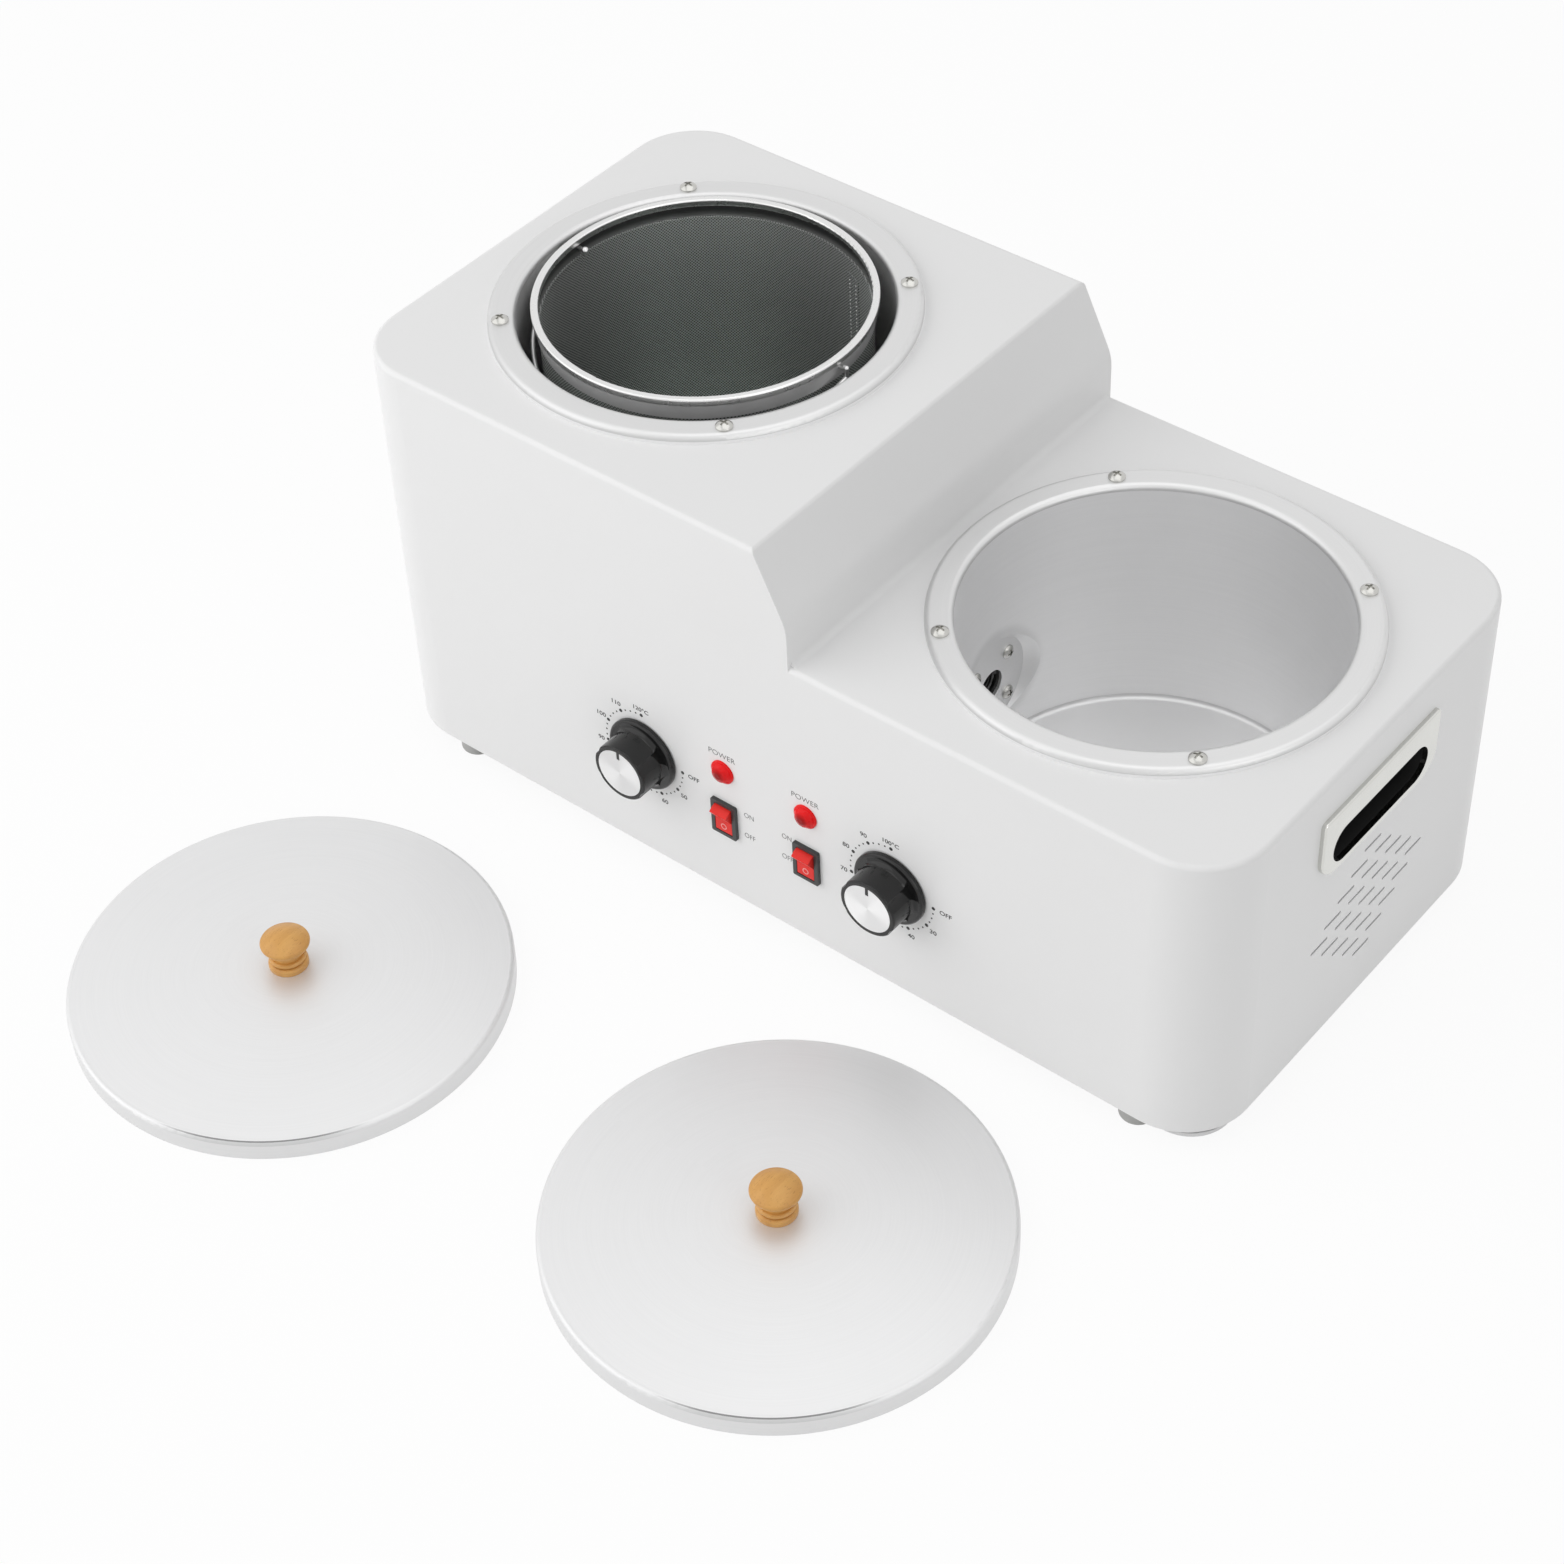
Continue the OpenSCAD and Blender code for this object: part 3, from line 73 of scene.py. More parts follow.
class Value:
    """One socket of a graph. Sums, products and comparisons of it add Math nodes."""

    def __init__(self, graph, socket):
        self.graph = graph
        self.socket = socket

    def __add__(self, other):
        return self.graph.math("ADD", self, other)

    def __sub__(self, other):
        return self.graph.math("SUBTRACT", self, other)

    def __rsub__(self, other):
        return self.graph.math("SUBTRACT", other, self)

    def __mul__(self, other):
        return self.graph.math("MULTIPLY", self, other)

    def __gt__(self, other):
        return self.graph.math("GREATER_THAN", self, other)

    def __lt__(self, other):
        return self.graph.math("LESS_THAN", self, other)

    __radd__ = __add__
    __rmul__ = __mul__


class Graph:
    """Nodes of a material or of the sky, all made by node()."""

    def __init__(self, tree):
        self.tree = tree
        tree.nodes.clear()

    def node(self, kind, settings=None, sockets=None, out=0):
        made = self.tree.nodes.new(kind)
        for name, value in (settings or {}).items():
            if name == "stops":
                set_stops(made.color_ramp, value)
            else:
                setattr(made, name, value)
        for name, value in (sockets or {}).items():
            if isinstance(value, Value):
                self.tree.links.new(value.socket, made.inputs[name])
            else:
                made.inputs[name].default_value = value
        return Value(self, made.outputs[out]) if made.outputs else None

    def math(self, operation, *terms):
        return self.node("ShaderNodeMath", {"operation": operation}, dict(enumerate(terms)))

    def rays(self, *kinds):
        """One for rays of these kinds, and zero for the rest."""
        seen = 0.0
        for kind in kinds:
            seen = self.math("MAXIMUM", seen, self.node("ShaderNodeLightPath", out=f"Is {kind} Ray"))
        return seen


class Finish(Graph):
    """One procedural material, read in the row frame's metres."""

    def __init__(self, name):
        self.material = bpy.data.materials.new(name)
        self.material.use_nodes = True
        super().__init__(self.material.node_tree)
        self.place = self.node("ShaderNodeTexCoord", out="Object")

    def from_point(self, centre):
        """Place measured from a point."""
        return self.node("ShaderNodeVectorMath", {"operation": "SUBTRACT"}, {0: self.place, 1: centre})

    def from_axis(self, centre):
        """Place measured from an upright axis, with Z still from the table."""
        return self.from_point((centre[0], centre[1], 0))

    def axes(self, vector):
        return [self.node("ShaderNodeSeparateXYZ", None, {0: vector}, axis) for axis in "XYZ"]

    def vector(self, x, y, z):
        return self.node("ShaderNodeCombineXYZ", None, {"X": x, "Y": y, "Z": z})

    def stretched(self, factors, vector):
        return self.node("ShaderNodeVectorMath", {"operation": "MULTIPLY"}, {0: vector, 1: factors})

    def length(self, across, up):
        return self.math("SQRT", across * across + up * up)

    def angle(self, across, up):
        return self.math("ARCTAN2", up, across)

    def noise(self, scale, detail=2.0, vector=None):
        sockets = {"Vector": vector or self.place, "Scale": scale, "Detail": detail}
        return self.node("ShaderNodeTexNoise", None, sockets, "Fac")

    def ramp(self, value, stops):
        return self.node("ShaderNodeValToRGB", {"stops": stops}, {"Fac": value}, "Color")

    def range(self, value, low, high):
        """Zero at low, one at high, and a soft step between."""
        sockets = {"Value": value, 1: low, 2: high}
        return self.node("ShaderNodeMapRange", {"interpolation_type": "SMOOTHSTEP"}, sockets)

    def mix(self, factor, first, second):
        sockets = {0: factor, 6: colour(first), 7: colour(second)}
        return self.node("ShaderNodeMix", {"data_type": "RGBA"}, sockets, 2)

    def bump(self, height, strength, distance=0.1 * MM):
        sockets = {"Height": height, "Strength": strength, "Distance": distance}
        return self.node("ShaderNodeBump", None, sockets)

    def surface(self, base, roughness, metallic=0.0, normal=None, others=None):
        sockets = {"Base Color": colour(base), "Roughness": roughness, "Metallic": metallic}
        if normal is not None:
            sockets["Normal"] = normal
        shader = self.node("ShaderNodeBsdfPrincipled", None, {**sockets, **(others or {})})
        self.node("ShaderNodeOutputMaterial", None, {"Surface": shader})
        return self.material


def colour(value):
    if isinstance(value, Value):
        return value
    return (*value, 1.0)


def grey(level):
    return (level, level, level)


def shaded(tone, share):
    return tuple(share * part for part in tone)


def set_stops(ramp, stops):
    while len(ramp.elements) < len(stops):
        ramp.elements.new(1.0)
    for element, (position, tone) in zip(ramp.elements, stops):
        element.position = position
        element.color = colour(tone)


# Finishes

# ALUMINIUM is painted paler than the rim's tone, as painted light for the dim inside of the pots.
ALUMINIUM = (0.945, 0.945, 0.948)
RIM_ALUMINIUM = (0.72, 0.72, 0.72)
LID_ALUMINIUM = (0.79, 0.79, 0.793)
DRAWN_LINES = 1500.0
LID_WALL_TOP = 10.8 * MM
# Turn of the lids' front, where their painted reflection and painted shade sit.
LID_REFLECTION_TURN = math.radians(-53)
MESH_PITCH = 1.7 * MM
# Count and turn of the upright streaks of painted sheen on the wire cloth.
MESH_SHEEN_STREAKS = 3
MESH_SHEEN_AT = 2.37
RING_PITCH = 0.22 * MM


def powder_coat(name, tone, roughness, shade_gap_from=None):
    """Sprayed and baked coat: a fine orange peel and hardly any change of tone.

    Above the height given, it is painted near black: a painted shadow line under the casing's edge."""
    f = Finish(name)
    peel = f.noise(850, 1.0) + 0.5 * f.noise(260, 1.0)
    base = f.mix(f.noise(7), shaded(tone, 0.975), tone)
    # Painted shadow: the coat turns near black above the given height, as the shade under the casing's
    # edge.
    if shade_gap_from is not None:
        _, _, z = f.axes(f.place)
        base = f.mix(z > shade_gap_from, base, grey(0.12))
    rough = roughness + 0.10 * (f.noise(45) - 0.5)
    sheen = {"Coat Weight": 0.06, "Coat Roughness": 0.18, "Specular IOR Level": 0.3}
    return f.surface(base, rough, normal=f.bump(peel, 0.05), others=sheen)


class SatinMetal(Finish):
    """Sheet drawn or spun round an axis: very fine lines that run round it, and a faint cloud."""

    def __init__(self, name, tone, centre):
        super().__init__(name)
        self.x, self.y, self.z = self.axes(self.from_axis(centre))
        self.turn = self.angle(self.x, self.y)
        self.reach = self.length(self.x, self.y)
        across_lines = self.vector(self.turn * 1.5, self.reach * DRAWN_LINES, self.z * DRAWN_LINES)
        self.drawn = self.noise(1.0, 2.0, across_lines)
        self.base = self.lined(tone)

    def lined(self, tone):
        return self.mix(self.drawn, shaded(tone, 0.94), tone)

    def tint(self, share, tone):
        self.base = self.mix(share, self.base, tone)

    def done(self, roughness, metallic=1.0):
        rough = roughness + 0.10 * (self.drawn - 0.5) + 0.06 * (self.noise(35) - 0.5)
        grain = self.bump(0.6 * self.drawn + 0.4 * self.noise(2600, 1.0), 0.06, 0.05 * MM)
        return self.surface(self.base, rough, metallic, grain)


def pot_metal(pot):
    """Drawn pot: wall painted paler than the rim as painted light, painted shade round a flat in its low X
    side and on the floor.
    """
    f = SatinMetal(f"{pot}_satin", ALUMINIUM, centre_of(pot))
    # Painted light: only the rim above the gasket gets the darker tone; the wall below keeps the paler one.
    f.tint(f.z > centre_of(f"{pot}_gasket").z, f.lined(RIM_ALUMINIUM))
    # Painted shade on the pressed flat round the drain.
    flat_shade = 1 - f.range(f.length(f.y, f.z - DRAIN.z), 29 * MM, 35 * MM)
    f.tint(0.35 * flat_shade * (f.x < -70 * MM), shaded(ALUMINIUM, 0.6))
    # Painted shade on the pot's floor.
    f.tint(f.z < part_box(pot)[0].z + 4 * MM, shaded(ALUMINIUM, 0.8))
    return f.done(0.45, 0.9)


def lid_metal(lid):
    """Spun lid: on the front of its turned-down wall, a fine dark line is a painted reflection over a bend
    with painted shade.
    """
    f = SatinMetal(f"{lid}_satin", LID_ALUMINIUM, centre_of(lid))
    front = f.range(f.math("COSINE", f.turn - LID_REFLECTION_TURN), 0.87, 0.98)
    reflected_line = (f.reach > radius_of(lid) - 1.6 * MM) * (f.z > LID_WALL_TOP - 0.45 * MM)
    shaded_bend = (f.reach > radius_of(lid) - 0.87 * MM) * (f.z > LID_WALL_TOP - 2.2 * MM)
    # Painted reflection (the thin dark line) and painted shade (the darker bend), on the front side only.
    f.tint(front * (0.75 * reflected_line + 0.2 * shaded_bend), shaded(LID_ALUMINIUM, 0.1))
    return f.done(0.46, 0.58)


def plated(name, tone, roughness):
    """Bright plating with light handling marks."""
    f = Finish(name)
    base = f.mix(f.noise(60, 3.0), shaded(tone, 0.9), tone)
    rough = roughness + 0.12 * (f.noise(140, 3.0) - 0.5)
    return f.surface(base, rough, 1.0, f.bump(f.noise(900, 1.0), 0.03))


def ring_over_band(name):
    """Bright ring over a rolled band, which is dark on the inside."""
    f = Finish(name)
    x, y, z = f.axes(f.from_axis(UPPER_POT))
    outside = f.length(x, y) > MESH_R + 0.6 * MM
    ring = z > RING_FROM
    inside = f.mix(f.range(z - RING_FROM, -5 * MM, -2 * MM), grey(0.30), grey(0.12))
    band = f.mix(outside, inside, grey(0.80))
    base = f.mix(ring, f.mix(0.2 * f.noise(60, 3.0), band, grey(0.0)), (0.76, 0.76, 0.755))
    rough = 0.28 + 0.15 * (1 - ring) + 0.1 * (f.noise(140, 3.0) - 0.5)
    metallic = 1 - 0.35 * outside * (1 - ring)
    return f.surface(base, rough, metallic, f.bump(f.noise(900, 1.0), 0.03))


def moulded(name, tone, roughness, grain=1800.0, strength=0.12, gloss=0.5):
    """Moulded plastic with a fine eroded grain."""
    f = Finish(name)
    base = f.mix(f.noise(90), shaded(tone, 0.85), shaded(tone, 1.1))
    rough = roughness + 0.12 * (f.noise(220, 3.0) - 0.5)
    pits = f.bump(f.noise(grain), strength)
    return f.surface(base, rough, normal=pits, others={"Specular IOR Level": gloss})


def rubber(name, tone):
    f = Finish(name)
    base = f.mix(f.noise(160, 4.0), shaded(tone, 0.88), tone)
    return f.surface(base, 0.62 + 0.1 * f.noise(300), normal=f.bump(f.noise(1400), 0.15))


def felt(name, tone):
    f = Finish(name)
    fibres = f.noise(1.0, 5.0, f.stretched((700, 700, 220), f.place))
    base = f.mix(fibres, shaded(tone, 0.7), tone)
    return f.surface(base, 0.95, normal=f.bump(fibres, 0.6, 0.6 * MM))


def turned_wood(name, centre):
    """Varnished beech: long bands along Y and short dark flecks."""
    f = Finish(name)
    place = f.from_point(centre)
    bands = f.noise(1.0, 3.0, f.stretched((120, 22, 120), place))
    flecks = f.noise(1.0, 2.0, f.stretched((2600, 330, 2600), place))
    tone = f.ramp(bands, [
        (0.30, (0.54, 0.255, 0.058)),
        (0.55, (0.66, 0.345, 0.092)),
        (0.72, (0.76, 0.43, 0.13)),
    ])
    base = f.mix(0.45 * f.range(flecks, 0.60, 0.72), tone, (0.30, 0.12, 0.025))
    varnish = {"Coat Weight": 0.25, "Coat Roughness": 0.16, "Specular IOR Level": 0.35}
    return f.surface(base, 0.42 - 0.08 * bands, normal=f.bump(flecks, 0.10), others=varnish)


def woven_mesh(name, centre):
    """Fine wire cloth: openings painted dark as painted shade of the inside, and upright streaks of painted
    sheen on the wires.
    """
    f = Finish(name)
    place = f.from_point(centre)
    x, y, z = f.axes(place)
    turn = f.angle(x, y)
    _, _, facing_up = f.axes(f.node("ShaderNodeNewGeometry", out="True Normal"))
    flat = f.math("ABSOLUTE", facing_up) > 0.5
    round_way = (1 - flat) * turn * MESH_R + flat * x
    up_way = (1 - flat) * z + flat * y
    wave = 2 * math.pi / MESH_PITCH
    weave = f.math("SINE", round_way * wave) * f.math("SINE", up_way * wave)
    opening = f.range(weave, 0.0, 0.35)
    # Painted sheen: upright streaks of lighter wire, weaker towards the rim, with a little random cloud.
    sheen_streaks = 0.5 + 0.5 * f.math("COSINE", MESH_SHEEN_STREAKS * (turn - MESH_SHEEN_AT))
    cloud = f.noise(16, 1.0, f.stretched((1, 1, 0.06), place))
    towards_rim = f.range(z, -60 * MM, 80 * MM)
    sheen_and_cloud = (0.8 * sheen_streaks + 0.2 * cloud) * (1 - 0.5 * towards_rim)
    wire = f.mix(sheen_and_cloud, (0.42, 0.425, 0.42), (0.90, 0.96, 0.92))
    # Painted shade: the openings are near black, standing in for the shaded inside seen through them.
    shade_through_gap = f.mix(sheen_and_cloud, (0.034, 0.035, 0.034), (0.100, 0.118, 0.107))
    base = f.mix(opening, wire, shade_through_gap)
    rough = 0.42 + 0.3 * opening
    return f.surface(base, rough, 0.7 - 0.6 * opening, f.bump(1 - opening, 0.35, 0.3 * MM))


def spun_disc(name, centre):
    """Lathe-turned aluminium: fine rings in the bump, and a fan of light and dark sectors as painted sheen
    in the colour.
    """
    f = Finish(name)
    x, _, z = f.axes(f.from_point(centre))
    reach = f.length(x, z)
    rings = f.math("SINE", reach * (2 * math.pi / RING_PITCH))
    # Painted sheen: light and dark sectors round the centre, fixed to the disc.
    fan = f.range(f.math("SINE", 2 * f.angle(x, z) + 0.6), -0.9, 1.0)
    lines = f.noise(1.0, 1.0, f.vector(reach * 6000, 0, 0))
    base = f.mix(0.75 * fan + 0.25 * lines, grey(0.78), grey(0.98))
    return f.surface(base, 0.34, 1.0, f.bump(rings, 0.25, 0.03 * MM))


def clear_red(name, centre):
    """Clear red moulding: bright towards the edge, dark where the lamp's socket shows in the middle."""
    f = Finish(name)
    x, _, z = f.axes(f.from_point(centre))
    wavering = f.length(x, z) + 1.6 * MM * (f.noise(420) - 0.5)
    base = f.mix(f.range(wavering, 1.0 * MM, 5.2 * MM), (0.30, 0.0, 0.001), (0.80, 0.008, 0.010))
    return f.surface(base, 0.10 + 0.1 * f.noise(300), others={"Specular IOR Level": 0.18})


def ink(name, tone):
    f = Finish(name)
    base = f.mix(f.noise(1500), shaded(tone, 0.8), shaded(tone, 1.15))
    return f.surface(base, 0.5 + 0.1 * f.noise(900))


polish = plated("basket_polish", (0.74, 0.74, 0.735), 0.30)
FINISHES = {
    "casing": powder_coat("casing_powder", grey(0.83), 0.34),
    "base_plate": powder_coat("base_powder", grey(0.70), 0.45, SHADE_GAP_FROM),
    "filter_basket": woven_mesh("basket_mesh", UPPER_POT),
    "basket_rim": ring_over_band("basket_ring_polish"),
    "drain_tube": SatinMetal("drain_blackened", grey(0.10), (0, 0, 0)).done(0.40),
}
for pot in ("upper_pot", "lower_pot"):
    FINISHES[pot] = pot_metal(pot)
for side in ("left", "right"):
    lid, knob, disc, pilot = f"{side}_lid", f"{side}_lid_knob", f"{side}_knob_disc", f"{side}_pilot_lens"
    FINISHES[lid] = lid_metal(lid)
    FINISHES[knob] = turned_wood(f"{side}_beech", centre_of(knob))
    FINISHES[disc] = spun_disc(f"{side}_spun_disc", centre_of(disc))
    FINISHES[pilot] = clear_red(f"{side}_lens_red", centre_of(pilot))
    FINISHES[f"{side}_handle_bezel"] = plated(f"{side}_bezel_chrome", (0.70, 0.70, 0.67), 0.10)
SHARED = [
    (plated("screw_nickel", (0.58, 0.575, 0.55), 0.22),
     "base_screws foot_screws upper_pot_screws lower_pot_screws drain_screws heater_clamp_screws "
     "left_lid_screw right_lid_screw thermostat_screws inlet_screws "
     "left_thermostat_shaft right_thermostat_shaft upper_heater_band lower_heater_band"),
    (rubber("foot_rubber", (0.46, 0.46, 0.45)),
     "foot_front_left foot_front_right foot_back_left foot_back_right"),
    (rubber("gasket_silicone", grey(0.05)), "upper_pot_gasket lower_pot_gasket drain_gaskets"),
    (felt("insulation_felt", (0.80, 0.74, 0.60)), "upper_insulation lower_insulation"),
    (polish, "basket_foot_ring basket_bail"),
    (moulded("control_black", grey(0.008), 0.14, grain=900.0, strength=0.02, gloss=0.42),
     "left_control_knob right_control_knob"),
    (moulded("thermostat_moulding", (0.80, 0.75, 0.64), 0.55),
     "left_thermostat right_thermostat terminal_block"),
    (plated("terminal_brass", (0.75, 0.58, 0.28), 0.32),
     "left_sensor right_sensor switch_terminals inlet_pins"),
    (moulded("switch_black", grey(0.035), 0.42),
     "left_pilot_body right_pilot_body left_switch_housing right_switch_housing power_inlet"),
    (moulded("rocker_red", (0.78, 0.026, 0.020), 0.36, grain=1500.0, strength=0.03, gloss=0.22),
     "left_rocker right_rocker"),
    (moulded("cup_black", grey(0.012), 0.45), "left_handle_cup right_handle_cup"),
]
for material, names in SHARED:
    for node_name in names.split():
        FINISHES[node_name] = material
for node_name, material in FINISHES.items():
    slots = nodes[node_name].data.materials
    slots.clear()
    slots.append(material)


# Pieces made here

WELD_WITHIN = 0.0001 * MM


def add_piece(name, build, material, body, smooth=False):
    """Turns a finished build into a piece that rides on a body."""
    bmesh.ops.remove_doubles(build, verts=build.verts[:], dist=WELD_WITHIN)
    bmesh.ops.recalc_face_normals(build, faces=build.faces[:])
    mesh = bpy.data.meshes.new(name)
    build.to_mesh(mesh)
    build.free()
    mesh.materials.append(material)
    for face in mesh.polygons:
        face.use_smooth = smooth
    piece = bpy.data.objects.new(name, mesh)
    bpy.context.scene.collection.objects.link(piece)
    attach(piece, body)
    return piece


def sweep(build, rows, closed=False):
    """Faces between neighbouring rows of points. An open sweep gets a face at either end."""
    for first, second in zip(rows, rows[1:] + rows[:1] if closed else rows[1:]):
        for k in range(len(first)):
            after = (k + 1) % len(first)
            build.faces.new([first[k], first[after], second[after], second[k]])
    if not closed:
        build.faces.new(rows[0])
        build.faces.new(list(reversed(rows[-1])))


# Prints on the panel

PRINT_PROUD = 0.05 * MM
PRINT_SUNK = 0.03 * MM
DOT_RING = 24 * MM
DOT_R = 1.0 * MM
SMALL_DOT_R = 0.5 * MM
STEPS_PER_NUMBER = 4
DIAL_FROM, DIAL_SWEEP = 90, 270
NUMBER_CAP, NUMBER_WEIGHT = 2.6 * MM, 0.012
LABEL_WEIGHT = -0.012


def add_word(build, words, x, z, cap_height, width, weight):
    """Sets one word on the panel, centred at x and z, to its height and width."""
    text = bpy.data.curves.new("word", "FONT")
    text.body = words
    text.extrude = 0.5
    text.offset = weight
    text.resolution_u = 4
    carrier = bpy.data.objects.new("word", text)
    bpy.context.scene.collection.objects.link(carrier)
    graph = bpy.context.evaluated_depsgraph_get()
    mesh = bpy.data.meshes.new_from_object(carrier.evaluated_get(graph))
    bpy.data.objects.remove(carrier)
    spots = [v.co.copy() for v in mesh.vertices]
    low = Vector([min(s[i] for s in spots) for i in range(3)])
    high = Vector([max(s[i] for s in spots) for i in range(3)])
    middle = (low + high) / 2
    for vertex, spot in zip(mesh.vertices, spots):
        across = (spot.x - middle.x) / (high.x - low.x) * width
        up = (spot.y - middle.y) / (high.y - low.y) * cap_height
        out = PRINT_PROUD if spot.z > 0 else -PRINT_SUNK
        vertex.co = (x + across, PANEL_Y - out, z + up)
    build.from_mesh(mesh)
    bpy.data.meshes.remove(mesh)


def add_dot(build, x, z, radius):
    place = Matrix.Translation((x, PANEL_Y + (PRINT_SUNK - PRINT_PROUD) / 2, z))
    bmesh.ops.create_cone(
        build, cap_ends=True, segments=16, radius1=radius, radius2=radius,
        depth=PRINT_PROUD + PRINT_SUNK, matrix=place @ Matrix.Rotation(math.pi / 2, 4, "X"),
    )


def mark_place(mark):
    """Distance of a mark from the knob's axis, and its width."""
    if mark == "OFF":
        return 31 * MM, 6.9 * MM
    if mark.endswith("C"):
        return 27.5 * MM, 9.4 * MM
    return 28.6 * MM, (3.9 if len(mark) == 2 else 5.5) * MM


def dial_print(side, marks):
    """Ring of dots and numbers: a full dot for each number, three small ones between."""
    middle = centre_of(f"{side}_control_knob")
    build = bmesh.new()
    step = math.radians(DIAL_SWEEP / (len(marks) - 1))
    for i, mark in enumerate(marks):
        angle = math.radians(DIAL_FROM) + i * step
        for j in range(STEPS_PER_NUMBER if i < len(marks) - 1 else 1):
            turn = angle + j * step / STEPS_PER_NUMBER
            add_dot(build, middle.x + DOT_RING * math.sin(turn), middle.z + DOT_RING * math.cos(turn),
                    SMALL_DOT_R if j else DOT_R)
        reach, width = mark_place(mark)
        add_word(build, mark, middle.x + reach * math.sin(angle), middle.z + reach * math.cos(angle),
                 NUMBER_CAP, width, NUMBER_WEIGHT)
    add_piece(f"{side}_dial_print", build, dial_ink, "warmer")


def switch_labels():
    build = bmesh.new()
    for pilot in ("left_pilot_lens", "right_pilot_lens"):
        add_word(build, "POWER", centre_of(pilot).x, 103.3 * MM, 3.1 * MM, 16 * MM, LABEL_WEIGHT)
    for x in (-10.3 * MM, 12.7 * MM):
        add_word(build, "ON", x, 71.9 * MM, 3.0 * MM, 5.7 * MM, LABEL_WEIGHT)
        add_word(build, "OFF", x, 58.5 * MM, 3.0 * MM, 6.5 * MM, LABEL_WEIGHT)
    add_piece("switch_labels", build, ink("label_ink", grey(0.05)), "warmer")


dial_ink = ink("dial_ink", grey(0.02))
dial_print("left", ["OFF", "50", "60", "70", "80", "90", "100", "110", "120°C"])
dial_print("right", ["OFF", "30", "40", "50", "60", "70", "80", "90", "100°C"])
switch_labels()


# Fine forms

def tray_edge():
    """Folded edge round the base tray. Its corners are less round than the casing's and show below it."""
    low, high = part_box("casing")
    middle, half = (low + high) / 2, (high - low) / 2
    inset_x, inset_y, corner, thick, steps = 3.6 * MM, 4.6 * MM, 21.5 * MM, 1.2 * MM, 14
    build = bmesh.new()
    rows = []
    for radius, z in ((corner, TRAY_BOTTOM), (corner, SHADE_GAP_FROM),
                      (corner - thick, SHADE_GAP_FROM), (corner - thick, TRAY_BOTTOM)):
        row = []
        for quarter, (way_x, way_y) in enumerate(((1, 1), (-1, 1), (-1, -1), (1, -1))):
            x = middle.x + way_x * (half.x - inset_x - corner)
            y = middle.y + way_y * (half.y - inset_y - corner)
            for k in range(steps + 1):
                turn = math.pi / 2 * (quarter + k / steps)
                spot = (x + radius * math.cos(turn), y + radius * math.sin(turn), z)
                row.append(build.verts.new(spot))
        rows.append(row)
    sweep(build, rows, closed=True)
    add_piece("base_tray_edge", build, FINISHES["base_plate"], "warmer")


def lens(side):
    """Faceted dome on a rounded flange."""
    node = f"{side}_pilot_lens"
    middle = centre_of(node)
    facets = 12
    # Radius and height of each ring in mm, its points for each facet, and its turn in points
    rings = [(6.6, 0.0, 4, 0.0), (6.6, 0.8, 4, 0.0), (6.2, 1.2, 4, 0.0), (5.8, 1.2, 2, 0.0),
             (5.6, 1.7, 2, 0.0), (4.1, 3.4, 2, 0.5), (1.7, 4.45, 1, 0.0)]
    build = bmesh.new()
    rows = []
    for radius, out, share, shift in rings:
        row = []
        for k in range(facets * share):
            turn = 2 * math.pi * (k + shift) / (facets * share)
            x, z = middle.x + radius * MM * math.cos(turn), middle.z + radius * MM * math.sin(turn)
            row.append(build.verts.new((x, PANEL_Y - out * MM, z)))
        rows.append(row)
    for first, second in zip(rows, rows[1:]):
        join_rings(build, first, second)
    build.faces.new(rows[-1])
    build.faces.new(list(reversed(rows[0])))
    piece = add_piece(f"{side}_faceted_lens", build, FINISHES[node], "warmer")
    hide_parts(f"{side}_pilot_lens")


def join_rings(build, first, second):
    """Facets between two closed rows of points, where the second has as many points or fewer."""
    share = len(first) // len(second)
    for k in range(len(second)):
        after = second[(k + 1) % len(second)]
        fan = [first[(k * share + j) % len(first)] for j in range(share + 1)]
        if share == 1:
            build.faces.new([fan[0], fan[1], after])
            build.faces.new([fan[0], after, second[k]])
        else:
            for j in range(share):
                build.faces.new([fan[j], fan[j + 1], second[k] if j < share / 2 else after])
            build.faces.new([fan[share // 2], after, second[k]])


def rocker_mark(side):
    """Off mark: a thin ring on the flush half of the rocker."""
    x = centre_of(f"{side}_rocker").x
    z = centre_of(f"{side}_switch_housing").z - 4.7 * MM
    face_y = PANEL_Y - 1.95 * MM * math.cos(math.radians(17))
    outer, inner, sunk, proud, count = 1.75 * MM, 1.3 * MM, 0.02 * MM, 0.06 * MM, 32
    build = bmesh.new()
    rows = []
    for radius, y in ((outer, face_y + sunk), (outer, face_y - proud),
                      (inner, face_y - proud), (inner, face_y + sunk)):
        turns = [2 * math.pi * k / count for k in range(count)]
        rows.append([build.verts.new((x + radius * math.cos(turn), y, z + radius * math.sin(turn)))
                     for turn in turns])
    sweep(build, rows, closed=True)
    add_piece(f"{side}_off_mark", build, mark_ink, f"{side}_rocker_switch")


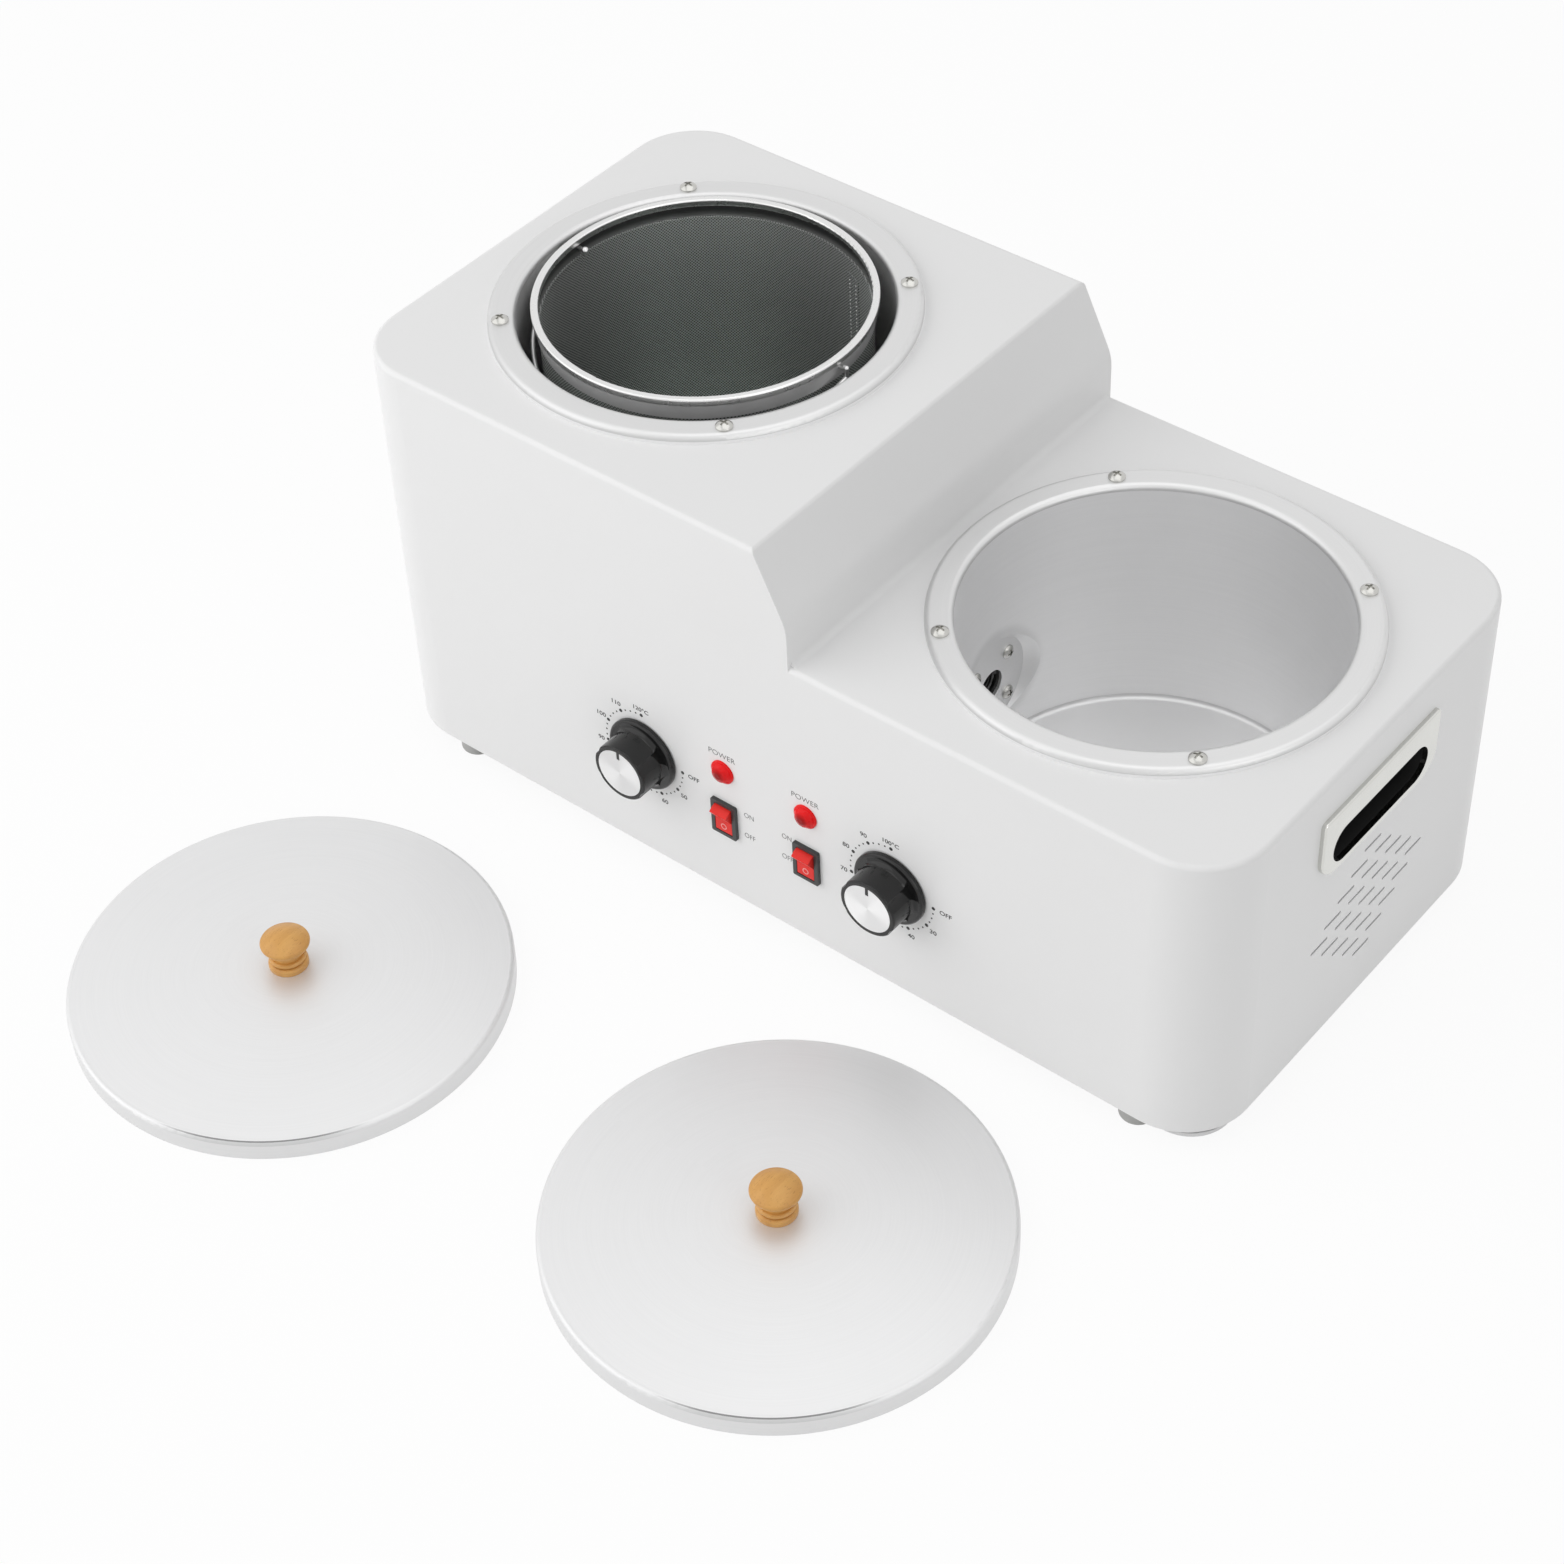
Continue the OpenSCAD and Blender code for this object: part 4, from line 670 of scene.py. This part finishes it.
def basket_seam():
    """Overlap of the mesh: a thin strip on the inside with two rows of spot welds."""
    middle = centre_of("filter_basket")
    low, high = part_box("filter_basket")
    outer, inner = MESH_R - 1.05 * MM, MESH_R - 1.3 * MM
    bottom, top = low.z + 2 * MM, high.z - 8 * MM
    first, last, steps = math.radians(62), math.radians(70), 6
    build = bmesh.new()
    rows = []
    for k in range(steps + 1):
        turn = first + (last - first) * k / steps
        corners = ((outer, bottom), (outer, top), (inner, top), (inner, bottom))
        rows.append([build.verts.new((middle.x + radius * math.cos(turn), radius * math.sin(turn), z))
                     for radius, z in corners])
    sweep(build, rows)
    add_piece("basket_seam", build, FINISHES["filter_basket"], "basket")

    welds = bmesh.new()
    pitch, radius, from_edge = 2.4 * MM, 0.8 * MM, 0.03
    flattened = Matrix.Diagonal((0.6, 0.6, 0.8, 1.0))
    for turn in (first + from_edge, last - from_edge):
        x, y = middle.x + inner * math.cos(turn), inner * math.sin(turn)
        for k in range(int((top - bottom) / pitch)):
            place = Matrix.Translation((x, y, bottom + (k + 0.5) * pitch))
            bmesh.ops.create_icosphere(welds, subdivisions=1, radius=radius, matrix=place @ flattened)
    add_piece("basket_spot_welds", welds, polish, "basket", smooth=True)


def drain_thread():
    """Cut thread in each mouth of the drain."""
    low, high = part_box("drain_tube")
    turns, per_turn, pitch, first_turn = 7, 40, 1.5 * MM, 0.6
    outer, inner = 8.5 * MM, 7.7 * MM
    profile = ((outer, -0.48), (inner, -0.08), (inner, 0.08), (outer, 0.48))
    build = bmesh.new()
    for mouth_x, way in ((low.x, 1), (high.x, -1)):
        rows = []
        for k in range(turns * per_turn + 1):
            turn = 2 * math.pi * k / per_turn
            x = mouth_x + way * pitch * (k / per_turn + first_turn)
            rows.append([
                build.verts.new((x + shift * pitch, DRAIN.y + radius * math.cos(turn),
                                 DRAIN.z + radius * math.sin(turn)))
                for radius, shift in profile
            ])
        sweep(build, rows)
    add_piece("drain_thread", build, FINISHES["drain_tube"], "warmer")


mark_ink = ink("mark_ink", (0.88, 0.42, 0.40))
tray_edge()
for side in ("left", "right"):
    lens(side)
for side in ("left", "right"):
    rocker_mark(side)
basket_seam()
drain_thread()


# Stage, light and camera

def stage_floor():
    """White paper, seen as plain white with a trace of the shadow."""
    mesh = bpy.data.meshes.new("floor")
    reach = 6.0
    corners = [(-reach, -reach, 0), (reach, -reach, 0), (reach, reach, 0), (-reach, reach, 0)]
    mesh.from_pydata(corners, [], [(0, 1, 2, 3)])
    floor = bpy.data.objects.new("floor", mesh)
    bpy.context.scene.collection.objects.link(floor)
    f = Finish("floor_paper")
    seen = f.rays("Camera", "Glossy", "Transmission")
    paper = f.node("ShaderNodeBsdfDiffuse", None, {"Color": colour(grey(0.86))})
    glow = f.node("ShaderNodeEmission", None, {"Color": colour(grey(1.0)), "Strength": 1.0})
    both = f.node("ShaderNodeMixShader", None, {0: 0.92 * seen, 1: paper, 2: glow})
    f.node("ShaderNodeOutputMaterial", None, {"Surface": both})
    mesh.materials.append(f.material)


def studio_sky():
    """Soft light from all round, seen as plain white."""
    world = bpy.data.worlds.new("studio")
    bpy.context.scene.world = world
    world.use_nodes = True
    sky = Graph(world.node_tree)
    soft = sky.node("ShaderNodeBackground", None, {"Color": colour(grey(1.0)), "Strength": 0.52})
    plain = sky.node("ShaderNodeBackground", None, {"Color": colour(grey(0.98)), "Strength": 1.0})
    both = sky.node("ShaderNodeMixShader", None, {0: sky.rays("Camera", "Glossy"), 1: soft, 2: plain})
    sky.node("ShaderNodeOutputWorld", None, {"Surface": both})


def soft_lamp(name, place, target, size, power, mirrored=True):
    """Square area lamp. One that isn't mirrored leaves no patch of light on metal and gloss."""
    data = bpy.data.lights.new(name, "AREA")
    data.shape = "SQUARE"
    data.size = size
    data.energy = power
    lamp = bpy.data.objects.new(name, data)
    lamp.location = place
    lamp.rotation_euler = (Vector(target) - Vector(place)).to_track_quat("-Z", "Y").to_euler()
    lamp.visible_glossy = mirrored
    bpy.context.scene.collection.objects.link(lamp)


def photo_camera():
    """Camera fitted to the casing's edges, the pots' rims and the lids."""
    right = Vector((0.776015, 0.629620, -0.037143))
    up = Vector((-0.414269, 0.553228, 0.722717))
    ahead = Vector((-0.475586, 0.545452, -0.690145))
    data = bpy.data.cameras.new("camera")
    data.sensor_fit = "HORIZONTAL"
    data.sensor_width = 36.0
    data.lens = 75.61
    camera = bpy.data.objects.new("camera", data)
    turned = Matrix((right, up, -ahead)).transposed().to_4x4()
    turned.translation = (0.73317, -0.95262, 1.15440)
    camera.matrix_world = turned
    bpy.context.scene.collection.objects.link(camera)
    bpy.context.scene.camera = camera


stage_floor()
studio_sky()
soft_lamp("key", (-1.4, -1.6, 1.4), (0, -0.1, 0.1), 3.0, 26.0, mirrored=False)
soft_lamp("key_sheen", (-1.55, -1.75, 1.55), (0, -0.1, 0.1), 3.0, 15.0)
soft_lamp("top", (0.3, 0.2, 2.2), (0, 0, 0.1), 2.0, 7.0)
soft_lamp("side", (2.0, -0.5, 1.0), (0, 0, 0.1), 1.2, 4.5)
photo_camera()
bpy.context.scene.view_settings.view_transform = "Standard"
